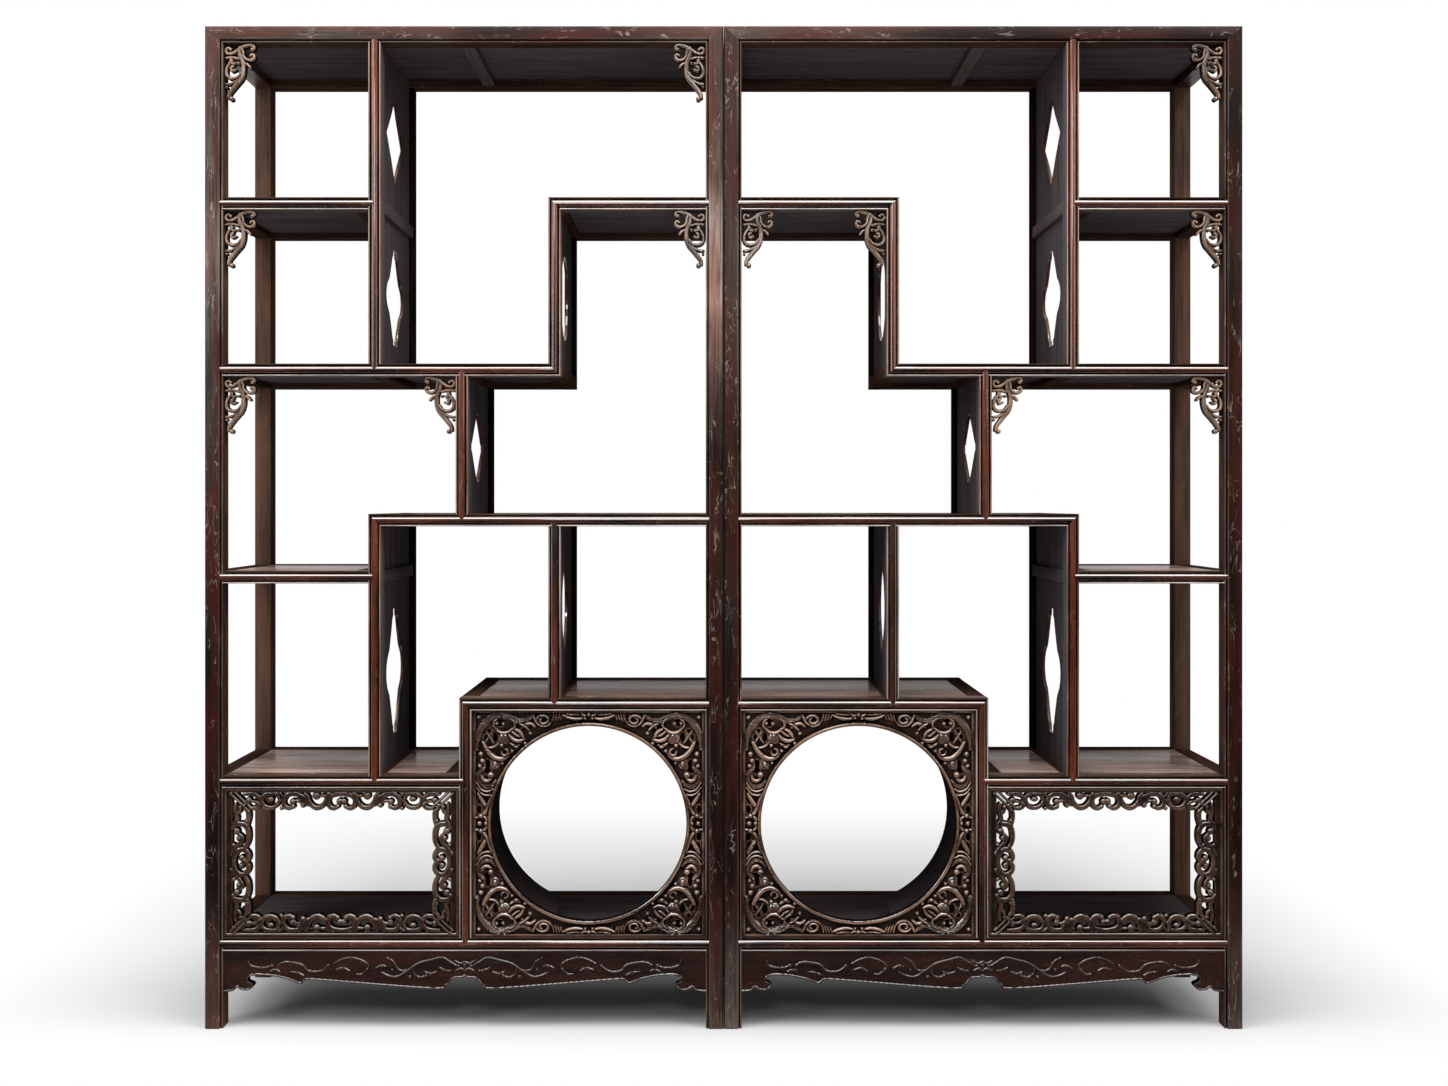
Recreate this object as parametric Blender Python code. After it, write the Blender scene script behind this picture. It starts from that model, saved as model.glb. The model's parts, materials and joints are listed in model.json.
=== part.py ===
"""A pair of open display cabinets with stepped shelves, pierced partitions and carved panels.

Each cabinet is a frame of posts, shelves and partitions, joined by mortises, tenons and mitres. The right
cabinet is modelled first, and the left one is its mirror image, apart from the places of the brackets.
Metres, +X to the viewer's right, the front faces -Y, +Z up. The origin is on the floor, under the middle
of the pair.
"""

import math
from collections import defaultdict, namedtuple

import bmesh
import bpy
from mathutils import Matrix

# Frame members
DEPTH = 0.360
POST_WIDTH = 0.034
POST_DEPTH = 0.038
PAIR_GAP = 0.0008
RAIL_FACE = 0.024
RAIL_DEPTH = 0.034
TOP_RAIL_HEIGHT = 0.031
BOTTOM_RAIL_HEIGHT = 0.0265

# Bays from the middle of the pair outwards
INNER_BAY_WIDTH = 0.279
WINDOW_STEP_WIDTH = 0.1476
PARTITION_SHIFT = 0.0065
OUTER_STEP_WIDTH = 0.144
OUTER_BAY_WIDTH = 0.279

# Heights, each from the top of one shelf to the top of the next one up
LEG_HEIGHT = 0.1485
FRETWORK_BAY_HEIGHT = 0.2865
RISE_TO_WINDOW_TOP = 0.149
RISE_TO_LOWER_OUTER = 0.2445
RISE_TO_MIDDLE = 0.110
RISE_TO_UPPER_LONG = 0.289
RISE_TO_HIGH = 0.320
TOP_BAY_HEIGHT = 0.297

# Panels
SHELF_PANEL_THICKNESS = 0.011
PARTITION_PANEL_THICKNESS = 0.006
TOP_PANEL_THICKNESS = 0.010
TOP_PANEL_RECESS = 0.004
PANEL_GROOVE = 0.006
BRACE_WIDTH = 0.025
BRACE_REVEAL = 0.003
SIDE_RAIL_WIDTH = 0.032
SIDE_RAIL_REVEAL = 0.002

# Half-round moulding along the front of shelves and partitions
MOULDING_WIDTH = 0.015
MOULDING_RISE = 0.0045
MOULDING_STEPS = 6
MOULDING_SINK = 0.003

# Joints
CLEARANCE = 0.0003
MITRE_GAP = CLEARANCE * math.sqrt(2)
TENON_THICKNESS = 0.010
TENON_WIDTH = 0.018
TENON_LENGTH = 0.014
TENON_ROOT = 0.006
MORTISE_SLACK = 0.001

# Cut-outs in the partition panels: width from front to back, then height
DIAMOND = (0.160, 0.174)
UPPER_CARTOUCHE = (0.163, 0.190)
LOWER_CARTOUCHE = (0.165, 0.250)
OVAL = (0.140, 0.168)
LOZENGE = (0.155, 0.135)
POINTED_OVAL = (0.110, 0.188)

# Carved rectangular frame, round window and apron
CARVING_THICKNESS = 0.016
CARVING_SETBACK = 0.006
FRETWORK_SIDE_BAND = 0.0515
FRETWORK_TOP_BAND = 0.0435
WINDOW_MARGIN = 0.0295
WINDOW_RIM_WIDTH = 0.007
WINDOW_RIM_RISE = 0.003
WINDOW_STEPS = 48
LINING_SETBACK = 0.0065
LINING_THICKNESS = 0.005
LINING_LENGTH = 0.150
LINING_GROOVE = 0.004
LINING_HALF_SWEEP = math.radians(70)
LINING_STEPS = 24
APRON_TENON_HEIGHT = 0.022

# Corner brackets
BRACKET_WIDTH = 0.061
BRACKET_HEIGHT = 0.112
BRACKET_THICKNESS = 0.014
BRACKET_SETBACK = 0.008

# Colours of the lacquered hardwood, with roughness
FRAME_COLOUR = (0.050, 0.021, 0.014)
PANEL_COLOUR = (0.032, 0.017, 0.013)
CARVING_COLOUR = (0.075, 0.040, 0.025)
ROUGHNESS = 0.38

# Worked-out places across the cabinet
inner_post_near = PAIR_GAP / 2
inner_post_far = inner_post_near + POST_WIDTH
inner_partition = inner_post_far + INNER_BAY_WIDTH
window_partition = inner_partition + RAIL_FACE + WINDOW_STEP_WIDTH
middle_partition = window_partition + PARTITION_SHIFT
outer_partition = middle_partition + RAIL_FACE + OUTER_STEP_WIDTH
outer_post_near = outer_partition + RAIL_FACE + OUTER_BAY_WIDTH
outer_post_far = outer_post_near + POST_WIDTH
cabinet_middle = (inner_post_near + outer_post_far) / 2

# Worked-out heights of the shelf tops and of the whole
bottom_top = LEG_HEIGHT + BOTTOM_RAIL_HEIGHT
lower_long_top = bottom_top + FRETWORK_BAY_HEIGHT + RAIL_FACE
window_shelf_top = lower_long_top + RISE_TO_WINDOW_TOP
lower_outer_top = window_shelf_top + RISE_TO_LOWER_OUTER
middle_top = lower_outer_top + RISE_TO_MIDDLE
upper_long_top = middle_top + RISE_TO_UPPER_LONG
high_top = upper_long_top + RISE_TO_HIGH
top_underside = high_top + TOP_BAY_HEIGHT
total_height = top_underside + TOP_RAIL_HEIGHT
top_panel_underside = total_height - TOP_PANEL_RECESS - TOP_PANEL_THICKNESS

# Worked-out places from front to back
front = -DEPTH / 2
back = DEPTH / 2
rail_front = front + MOULDING_RISE
front_rail_back = rail_front + RAIL_DEPTH
back_rail_front = back - RAIL_DEPTH
front_post_back = front + POST_DEPTH
back_post_front = back - POST_DEPTH
front_tenon_middle = (rail_front + min(front_rail_back, front_post_back)) / 2
back_tenon_middle = (max(back_rail_front, back_post_front) + back) / 2
panel_reach_front = max(front_rail_back, front_post_back) + CLEARANCE
panel_reach_back = min(back_rail_front, back_post_front) - CLEARANCE
carving_front = front + CARVING_SETBACK
carving_back = carving_front + CARVING_THICKNESS

# A shelf's end: "butt" against a post or stile, or a mitre with a partition below or above it
End = namedtuple("End", "kind place mates")
# A partition's end: "butt" against the shelf or top that it meets, or "mitre" with it
Stop = namedtuple("Stop", "kind height mate")

mortises = defaultdict(list)


# Simple closed shapes, each a list of points and a list of faces

def between_rings(lower, upper):
    """The closed shape between two rings of points that match one to one."""
    count = len(lower)
    faces = [tuple(reversed(range(count))), tuple(range(count, 2 * count))]
    for here in range(count):
        after = (here + 1) % count
        faces.append((here, after, count + after, count + here))
    return list(lower) + list(upper), faces


def block(x0, x1, y0, y1, z0, z1):
    corners = [(x0, y0), (x1, y0), (x1, y1), (x0, y1)]
    return between_rings([(x, y, z0) for x, y in corners], [(x, y, z1) for x, y in corners])


def plate(outline, y0, y1):
    """An upright plate: an outline of (x, z) points, from y0 to y1."""
    return between_rings([(x, y0, z) for x, z in outline], [(x, y1, z) for x, z in outline])


def mesh_of(*shapes):
    """One mesh of all the shapes, with every face turned outwards."""
    builder = bmesh.new()
    for points, faces in shapes:
        corners = [builder.verts.new(point) for point in points]
        for face in faces:
            builder.faces.new([corners[index] for index in face])
    bmesh.ops.recalc_face_normals(builder, faces=builder.faces)
    mesh = bpy.data.meshes.new("shape")
    builder.to_mesh(mesh)
    builder.free()
    return mesh


def combine(mesh, operation, shapes):
    """The mesh with the shapes joined to it (UNION) or cut from it (DIFFERENCE)."""
    if not shapes:
        return mesh
    body = bpy.data.objects.new("body", mesh)
    tool = bpy.data.objects.new("tool", mesh_of(*shapes))
    for item in (body, tool):
        bpy.context.scene.collection.objects.link(item)
    modifier = body.modifiers.new(operation, "BOOLEAN")
    modifier.operation = operation
    modifier.solver = "EXACT"
    modifier.object = tool
    graph = bpy.context.evaluated_depsgraph_get()
    result = bpy.data.meshes.new_from_object(body.evaluated_get(graph))
    for item in (body, tool):
        bpy.data.objects.remove(item)
    return result


# Tenons, each with the mortise that it needs in its mate

def tenon(spans, along, mate):
    """A tenon from its spans in x, y and z. Its mate gets a mortise with clearance, and slack along it."""
    mortise = []
    for axis, (low, high) in enumerate(spans):
        gap = MORTISE_SLACK if axis == along else CLEARANCE
        mortise += [low - gap, high + gap]
    mortises[mate].append(block(*mortise))
    return block(*(limit for span in spans for limit in span))


def around(middle, size):
    return (middle - size / 2, middle + size / 2)


def past_end(end, outward):
    """A tenon's span along itself: rooted in its own piece and reaching past the piece's end."""
    return tuple(sorted((end - outward * TENON_ROOT, end + outward * TENON_LENGTH)))


def shelf_tenons(x, outward, top, height, mates):
    """The two tenons, front and back, at a shelf's square end."""
    across = around(top - height / 2, TENON_THICKNESS)
    return [
        tenon((past_end(x, outward), around(y, TENON_WIDTH), across), 0, mate)
        for y, mate in zip((front_tenon_middle, back_tenon_middle), mates)
    ]


def stile_tenons(x, z, upward, mate):
    """The two tenons, front and back, at a partition's square end."""
    across = around(x, TENON_THICKNESS)
    return [
        tenon((across, around(y, TENON_WIDTH), past_end(z, upward)), 2, mate)
        for y in (front_tenon_middle, back_tenon_middle)
    ]


def half_round(middle):
    """The moulding's section as (sideways, y) points, sunk a little into the face that carries it."""
    half = MOULDING_WIDTH / 2
    section = [(middle + half, rail_front + MOULDING_SINK), (middle - half, rail_front + MOULDING_SINK)]
    for step in range(MOULDING_STEPS + 1):
        angle = math.pi * (step / MOULDING_STEPS - 0.5)
        section.append((middle + half * math.sin(angle), rail_front - MOULDING_RISE * math.cos(angle)))
    return section


# Shelves

def shelf_end_x(end, outward, share_up):
    """Where a shelf ends, at a height given from 0 at its underside to 1 at its top."""
    if end.kind == "butt":
        return end.place - outward * CLEARANCE
    from_corner = 1 - share_up if end.kind == "mitre below" else share_up
    return end.place - outward * (from_corner * RAIL_FACE + MITRE_GAP)


def shelf(inner, outer, top, height=RAIL_FACE):
    """One shelf: a frame with a panel, moulded in front, open underneath and let in between the posts."""
    underside = top - height

    def outline(share_up):
        points = []
        for end, outward in ((inner, -1), (outer, 1)):
            x = shelf_end_x(end, outward, share_up)
            side = [(x, rail_front), (x, back)]
            if end.mates and "post" in end.mates[0]:
                rail_x = end.place + outward * (POST_WIDTH - SIDE_RAIL_REVEAL)
                side[1:1] = [
                    (x, front_post_back + CLEARANCE),
                    (rail_x, front_post_back + CLEARANCE),
                    (rail_x, back_post_front - CLEARANCE),
                    (x, back_post_front - CLEARANCE),
                ]
            points += side if outward > 0 else side[::-1]
        return points

    base = between_rings(
        [(x, y, underside) for x, y in outline(0)], [(x, y, top) for x, y in outline(1)]
    )

    def moulding_end(end, outward):
        return [
            (shelf_end_x(end, outward, (z - underside) / height) - outward * CLEARANCE, y, z)
            for z, y in half_round(top - height / 2)
        ]

    added = [between_rings(moulding_end(inner, -1), moulding_end(outer, 1))]
    for end, outward in ((inner, -1), (outer, 1)):
        if end.kind == "butt":
            added += shelf_tenons(shelf_end_x(end, outward, 0), outward, top, height, end.mates)
    pocket = block(
        shelf_end_x(inner, -1, 0.5) + SIDE_RAIL_WIDTH,
        shelf_end_x(outer, 1, 0.5) - SIDE_RAIL_WIDTH,
        front_rail_back,
        back_rail_front,
        underside - MOULDING_RISE,
        top - SHELF_PANEL_THICKNESS,
    )
    return combine(combine(mesh_of(base), "UNION", added), "DIFFERENCE", [pocket])


# Partitions

def partition_end_z(stop, upward, share_out):
    """Where a partition ends, from 0 at its face towards the middle of the pair to 1 at its outer face."""
    if stop.kind == "butt":
        return stop.height - upward * CLEARANCE
    from_corner = 1 - share_out if upward > 0 else share_out
    return stop.height - upward * from_corner * RAIL_FACE


def partition(near, bottom, top, reach=0, rail_top=None, holes=()):
    """One partition: two stiles and a thin panel, with a moulding in front.

    reach is how far the panel goes up past the stiles, rail_top the top of a middle rail, and holes the
    outlines of the cut-outs as (y, z) points.
    """
    far = near + RAIL_FACE
    middle = (near + far) / 2
    half_panel = PARTITION_PANEL_THICKNESS / 2
    stile_back = front_rail_back
    section = [
        (near, rail_front), (far, rail_front), (far, stile_back), (middle + half_panel, stile_back),
        (middle + half_panel, back_rail_front), (far, back_rail_front), (far, back), (near, back),
        (near, back_rail_front), (middle - half_panel, back_rail_front),
        (middle - half_panel, stile_back), (near, stile_back),
    ]

    def ring(outline, stop, upward, trim=0.0):
        return [
            (x, y, partition_end_z(stop, upward, (x - near) / RAIL_FACE) - upward * trim)
            for x, y in outline
        ]

    added = [between_rings(
        ring(half_round(middle), bottom, -1, CLEARANCE), ring(half_round(middle), top, 1, CLEARANCE)
    )]
    for stop, upward in ((bottom, -1), (top, 1)):
        if stop.kind == "butt":
            added += stile_tenons(middle, partition_end_z(stop, upward, 0), upward, stop.mate)
    if reach:
        end = partition_end_z(top, 1, 0)
        added.append(block(
            middle - half_panel, middle + half_panel, panel_reach_front, panel_reach_back,
            end - TENON_ROOT, end + reach,
        ))
    if rail_top:
        added.append(block(
            near + SIDE_RAIL_REVEAL / 2, far - SIDE_RAIL_REVEAL / 2, stile_back - TENON_ROOT,
            back_rail_front + TENON_ROOT, rail_top - RAIL_FACE, rail_top,
        ))
    cuts = [
        between_rings([(near, y, z) for y, z in hole], [(far, y, z) for y, z in hole]) for hole in holes
    ]
    base = between_rings(ring(section, bottom, -1), ring(section, top, 1))
    return combine(combine(mesh_of(base), "UNION", added), "DIFFERENCE", cuts)


# Outlines of the cut-outs, centred between front and back

def mirrored_quarter(quarter, size, height):
    """A closed outline from a quarter of it, given as shares of the half width and half height."""
    half_width, half_height = size[0] / 2, size[1] / 2
    signs = ((1, 1), (-1, 1), (-1, -1), (1, -1))
    points = []
    for turn, (sign_y, sign_z) in enumerate(signs):
        run = quarter if turn % 2 == 0 else quarter[::-1]
        points += [(sign_y * y * half_width, height + sign_z * z * half_height) for y, z in run]
    return [point for index, point in enumerate(points) if point != points[index - 1]]


def diamond(size, height):
    return mirrored_quarter([(1, 0), (0, 1)], size, height)


def lozenge(size, height):
    return mirrored_quarter([(1, 0.12), (0.16, 1)], size, height)


def oval(size, height, steps=6):
    angles = [math.pi / 2 * step / steps for step in range(steps + 1)]
    return mirrored_quarter([(math.cos(angle), math.sin(angle)) for angle in angles], size, height)


def pointed_oval(size, height, steps=5):
    shares = [step / steps for step in range(steps + 1)]
    return mirrored_quarter([(1 - share ** 2, share) for share in shares], size, height)


def cartouche(size, height):
    """A begonia-like cartouche: a swelling middle, a step, then ogee shoulders up to a small square end."""
    quarter = [(1, 0.06), (0.92, 0.24), (0.72, 0.36), (0.62, 0.42), (0.50, 0.56), (0.36, 0.76), (0.30, 0.88),
               (0.30, 1.0), (0, 1.0)]
    return mirrored_quarter(quarter, size, height)


# Posts and top

def post(near, far, y_front, y_back, corner_x, corner_y):
    """A post with a pyramid on top: its share of the three-way mitre with the rails of the top frame."""
    drop = MITRE_GAP
    shoulder = top_underside - drop
    corners = [(near, y_front), (far, y_front), (far, y_back), (near, y_back)]
    points = [(x, y, 0) for x, y in corners] + [(x, y, shoulder) for x, y in corners]
    points.append((corner_x, corner_y, total_height - drop))
    faces = [(3, 2, 1, 0)]
    for here in range(4):
        after = (here + 1) % 4
        faces.append((here, after, 4 + after, 4 + here))
        faces.append((4 + here, 4 + after, 8))
    return mesh_of((points, faces))


def top_frame():
    """The four top rails as one glued frame, mitred over the posts and grooved for the top panel."""
    points = []
    corners = [
        (inner_post_near, inner_post_far, front, front_post_back),
        (outer_post_far, outer_post_near, front, front_post_back),
        (outer_post_far, outer_post_near, back, back_post_front),
        (inner_post_near, inner_post_far, back, back_post_front),
    ]
    for outer_x, inner_x, outer_y, inner_y in corners:
        points += [
            (outer_x, outer_y, total_height),
            (inner_x, inner_y, total_height),
            (inner_x, inner_y, top_underside),
            (inner_x, outer_y, top_underside),
            (outer_x, inner_y, top_underside),
        ]
    tip, top_inside, low_inside, low_along_x, low_along_y = range(5)
    faces = []
    for here in range(4):
        after = (here + 1) % 4
        low_out = low_along_x if here % 2 == 0 else low_along_y
        a, b = 5 * here, 5 * after
        faces += [
            (a + tip, b + tip, b + top_inside, a + top_inside),
            (a + tip, a + low_out, b + low_out, b + tip),
            (a + low_out, a + low_inside, b + low_inside, b + low_out),
            (a + low_inside, a + top_inside, b + top_inside, b + low_inside),
            (a + tip, a + low_along_x, a + low_inside),
            (a + tip, a + low_inside, a + low_along_y),
        ]
    groove = top_panel_block(CLEARANCE)
    return combine(mesh_of((points, faces)), "DIFFERENCE", [groove])


def top_panel_block(margin):
    reach = PANEL_GROOVE + margin
    return block(
        inner_post_far - reach, outer_post_near + reach, front_post_back - reach, back_post_front + reach,
        top_panel_underside - margin, top_panel_underside + TOP_PANEL_THICKNESS + margin,
    )


def top_brace():
    """The brace under the top panel, tenoned into the front and back rails of the top frame."""
    top = top_panel_underside - CLEARANCE
    underside = top_underside + BRACE_REVEAL
    front_end, back_end = front_post_back + CLEARANCE, back_post_front - CLEARANCE
    across = around(cabinet_middle, TENON_WIDTH)
    upright = around((top + underside) / 2, TENON_THICKNESS)
    tenons = [
        tenon((across, past_end(end, outward), upright), 1, "top_frame")
        for end, outward in ((front_end, -1), (back_end, 1))
    ]
    bar = block(*around(cabinet_middle, BRACE_WIDTH), front_end, back_end, underside, top)
    return combine(mesh_of(bar), "UNION", tenons)


# Carved pieces

def fretwork_frame():
    """The rectangular carved frame round the low outer bay."""
    x0, x1 = window_partition + RAIL_FACE + CLEARANCE, outer_post_near - CLEARANCE
    z0, z1 = bottom_top + CLEARANCE, lower_long_top - RAIL_FACE - CLEARANCE
    inside = block(
        x0 + FRETWORK_SIDE_BAND, x1 - FRETWORK_SIDE_BAND, front, carving_back + CARVING_SETBACK,
        z0 + FRETWORK_TOP_BAND, z1 - FRETWORK_TOP_BAND,
    )
    whole = block(x0, x1, carving_front, carving_back, z0, z1)
    return combine(mesh_of(whole), "DIFFERENCE", [inside])


def circle(centre_x, centre_z, radius):
    angles = [2 * math.pi * step / WINDOW_STEPS for step in range(WINDOW_STEPS)]
    return [(centre_x + radius * math.cos(angle), centre_z + radius * math.sin(angle)) for angle in angles]


def bent_board(centre, inside, outside, y0, y1):
    """A board bent round the outer side of a centre, between two radii."""
    angles = [LINING_HALF_SWEEP * (2 * step / LINING_STEPS - 1) for step in range(LINING_STEPS + 1)]
    places = [(inside, angle) for angle in angles] + [(outside, angle) for angle in reversed(angles)]
    outline = [(centre[0] + radius * math.cos(angle), centre[1] + radius * math.sin(angle))
               for radius, angle in places]
    return plate(outline, y0, y1)


def window_panel():
    """The carved panel with a round window, a raised rim, and a bent lining behind its outer side."""
    x0, x1 = inner_post_far + CLEARANCE, window_partition - CLEARANCE
    z0, z1 = bottom_top + CLEARANCE, window_shelf_top - RAIL_FACE - CLEARANCE
    centre = ((x0 + x1) / 2, (z0 + z1) / 2)
    radius = min(x1 - x0, z1 - z0) / 2 - WINDOW_MARGIN
    whole = block(x0, x1, carving_front, carving_back, z0, z1)
    rim = plate(
        circle(*centre, radius + WINDOW_RIM_WIDTH), carving_front - WINDOW_RIM_RISE,
        carving_front + MOULDING_SINK,
    )
    hole = plate(circle(*centre, radius), front, carving_back + CARVING_SETBACK)
    panel = combine(combine(mesh_of(whole), "UNION", [rim]), "DIFFERENCE", [hole])
    inside = radius + LINING_SETBACK
    lining = bent_board(centre, inside, inside + LINING_THICKNESS,
                        carving_back - LINING_GROOVE, carving_back + LINING_LENGTH)
    return combine(panel, "UNION", [lining])


# Lower edge of the apron: (distance from the post or from the middle, drop below the shelf)
APRON_END = [
    (0.004, 0.0787), (0.019, 0.0768), (0.0255, 0.0701), (0.0335, 0.0749), (0.0488, 0.0768), (0.0584, 0.0672),
    (0.0604, 0.0586), (0.0565, 0.0490), (0.068, 0.0470), (0.0949, 0.0488), (0.1246, 0.0553), (0.1479, 0.0634),
    (0.1579, 0.0570), (0.1842, 0.0570),
]
APRON_MIDDLE = [(0.0649, 0.0735), (0.0351, 0.0668), (0.0221, 0.0538), (0.0054, 0.0518), (0, 0.0492)]


def apron():
    """The shaped apron under the bottom shelf, tenoned into both front posts."""
    top = LEG_HEIGHT - CLEARANCE
    half_length = (outer_post_near - inner_post_far) / 2 - CLEARANCE
    edge = [(half_length - inset, top - drop) for inset, drop in APRON_END]
    edge += [(distance, top - drop) for distance, drop in APRON_MIDDLE]
    half = [(half_length, top), (half_length, edge[0][1])] + edge
    outline = [(cabinet_middle + x, z) for x, z in half]
    outline += [(cabinet_middle - x, z) for x, z in half[-2::-1]]
    across = around((carving_front + carving_back) / 2, TENON_THICKNESS)
    upright = around(top - APRON_TENON_HEIGHT, APRON_TENON_HEIGHT)
    tenons = [
        tenon((past_end(cabinet_middle + outward * half_length, outward), across, upright), 0, mate)
        for outward, mate in ((-1, "front_inner_post"), (1, "front_outer_post"))
    ]
    return combine(mesh_of(plate(outline, carving_front, carving_back)), "UNION", tenons)


# Openwork corner bracket: strokes as (share of width from the post, share of height down) points,
# with the stroke's half width in metres and its thickness as a share of the bracket's
Stroke = namedtuple("Stroke", "points half_width thickness")
BRACKET_STROKES = [
    Stroke([(0.19, 0.10), (0.08, 0.10), (0.05, 0.15), (0.12, 0.18), (0.27, 0.16), (0.42, 0.10), (0.58, 0.045),
            (0.76, 0.022), (0.92, 0.035), (0.955, 0.075), (0.88, 0.10)], 0.0023, 1.0),
    Stroke([(0.52, 0.07), (0.56, 0.15), (0.59, 0.22), (0.69, 0.27), (0.82, 0.285), (0.93, 0.25), (0.955, 0.205),
            (0.87, 0.19)], 0.0022, 0.94),
    Stroke([(0.46, 0.11), (0.50, 0.22), (0.58, 0.33), (0.61, 0.43), (0.59, 0.52), (0.53, 0.61), (0.42, 0.69),
            (0.28, 0.77), (0.17, 0.85), (0.14, 0.92), (0.21, 0.965)], 0.0030, 0.88),
    Stroke([(0.53, 0.36), (0.33, 0.31), (0.16, 0.37), (0.06, 0.46), (0.09, 0.54), (0.24, 0.59), (0.40, 0.575),
            (0.57, 0.50)], 0.0026, 0.82),
    Stroke([(0.57, 0.36), (0.72, 0.345), (0.80, 0.40)], 0.0022, 0.76),
]


def ribbon(stroke):
    """A stroke as an upright ribbon with square ends, its points in the bracket's own frame."""
    points = [(u * BRACKET_WIDTH, -v * BRACKET_HEIGHT) for u, v in stroke.points]
    left, right = [], []
    for index, (x, z) in enumerate(points):
        before = points[max(index - 1, 0)]
        after = points[min(index + 1, len(points) - 1)]
        run = math.hypot(after[0] - before[0], after[1] - before[1])
        across = (-(after[1] - before[1]) / run, (after[0] - before[0]) / run)
        left.append((x + across[0] * stroke.half_width, z + across[1] * stroke.half_width))
        right.append((x - across[0] * stroke.half_width, z - across[1] * stroke.half_width))
    half = BRACKET_THICKNESS * stroke.thickness / 2
    return plate(left + right[::-1], -half, half)


def bracket():
    """One bracket for a corner with its post on the low X side, its inner top corner at the origin."""
    mesh = mesh_of(ribbon(BRACKET_STROKES[0]))
    for stroke in BRACKET_STROKES[1:]:
        mesh = combine(mesh, "UNION", [ribbon(stroke)])
    low_x = min(vertex.co.x for vertex in mesh.vertices)
    high_z = max(vertex.co.z for vertex in mesh.vertices)
    mesh.transform(Matrix.Translation((CLEARANCE - low_x, 0, -CLEARANCE - high_z)))
    return mesh


# The pieces of the right cabinet, with the places of its corner brackets

inner_posts = ("front_inner_post", "back_inner_post")
outer_posts = ("front_outer_post", "back_outer_post")
at_inner_posts = End("butt", inner_post_far, inner_posts)
at_outer_posts = End("butt", outer_post_near, outer_posts)


def against(name, place):
    return End("butt", place, (name, name))


def frame_pieces():
    """Every piece of the frame by name, before its mortises are cut."""
    stiles = RAIL_FACE
    upper_middle = (high_top + top_underside) / 2
    lower_middle = (upper_long_top + high_top - RAIL_FACE) / 2
    shelf_reach = RAIL_FACE - SHELF_PANEL_THICKNESS
    return {
        "upper_outer_shelf": shelf(
            against("tall_partition", outer_partition + stiles), at_outer_posts, high_top),
        "high_shelf": shelf(
            at_inner_posts, End("mitre below", inner_partition + stiles, ()), high_top),
        "upper_long_shelf": shelf(
            End("mitre above", inner_partition, ()), at_outer_posts, upper_long_top),
        "middle_shelf": shelf(
            at_inner_posts, End("mitre below", outer_partition + stiles, ()), middle_top),
        "lower_outer_shelf": shelf(
            against("lower_partition", outer_partition + stiles), at_outer_posts, lower_outer_top),
        "window_top_shelf": shelf(
            at_inner_posts, End("mitre below", window_partition + stiles, ()), window_shelf_top),
        "lower_long_shelf": shelf(
            against("window_partition", window_partition + stiles), at_outer_posts, lower_long_top),
        "bottom_shelf": shelf(at_inner_posts, at_outer_posts, bottom_top, BOTTOM_RAIL_HEIGHT),
        "tall_partition": partition(
            outer_partition,
            Stop("butt", upper_long_top, "upper_long_shelf"),
            Stop("butt", top_underside, "top_frame"),
            reach=top_panel_underside - top_underside,
            rail_top=high_top,
            holes=(diamond(DIAMOND, upper_middle), cartouche(UPPER_CARTOUCHE, lower_middle)),
        ),
        "high_partition": partition(
            inner_partition,
            Stop("mitre", upper_long_top - RAIL_FACE, None),
            Stop("mitre", high_top, None),
            holes=(oval(OVAL, lower_middle),),
        ),
        "middle_partition": partition(
            middle_partition,
            Stop("butt", middle_top, "middle_shelf"),
            Stop("butt", upper_long_top - RAIL_FACE, "upper_long_shelf"),
            reach=shelf_reach,
            holes=(lozenge(LOZENGE, (middle_top + upper_long_top - RAIL_FACE) / 2),),
        ),
        "lower_partition": partition(
            outer_partition,
            Stop("butt", lower_long_top, "lower_long_shelf"),
            Stop("mitre", middle_top, None),
            rail_top=lower_outer_top,
            holes=(cartouche(LOWER_CARTOUCHE, (lower_long_top + lower_outer_top - RAIL_FACE) / 2),),
        ),
        "inner_partition": partition(
            inner_partition,
            Stop("butt", window_shelf_top, "window_top_shelf"),
            Stop("butt", middle_top - RAIL_FACE, "middle_shelf"),
            reach=shelf_reach,
            holes=(pointed_oval(POINTED_OVAL, (window_shelf_top + middle_top - RAIL_FACE) / 2),),
        ),
        "window_partition": partition(
            window_partition,
            Stop("butt", bottom_top, "bottom_shelf"),
            Stop("mitre", window_shelf_top, None),
        ),
        "front_inner_post": post(
            inner_post_near, inner_post_far, front, front_post_back, inner_post_near, front),
        "front_outer_post": post(
            outer_post_near, outer_post_far, front, front_post_back, outer_post_far, front),
        "back_inner_post": post(
            inner_post_near, inner_post_far, back_post_front, back, inner_post_near, back),
        "back_outer_post": post(
            outer_post_near, outer_post_far, back_post_front, back, outer_post_far, back),
        "top_frame": top_frame(),
        "top_panel": mesh_of(top_panel_block(0)),
        "top_brace": top_brace(),
        "fretwork_frame": fretwork_frame(),
        "window_panel": window_panel(),
        "apron": apron(),
    }


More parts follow.
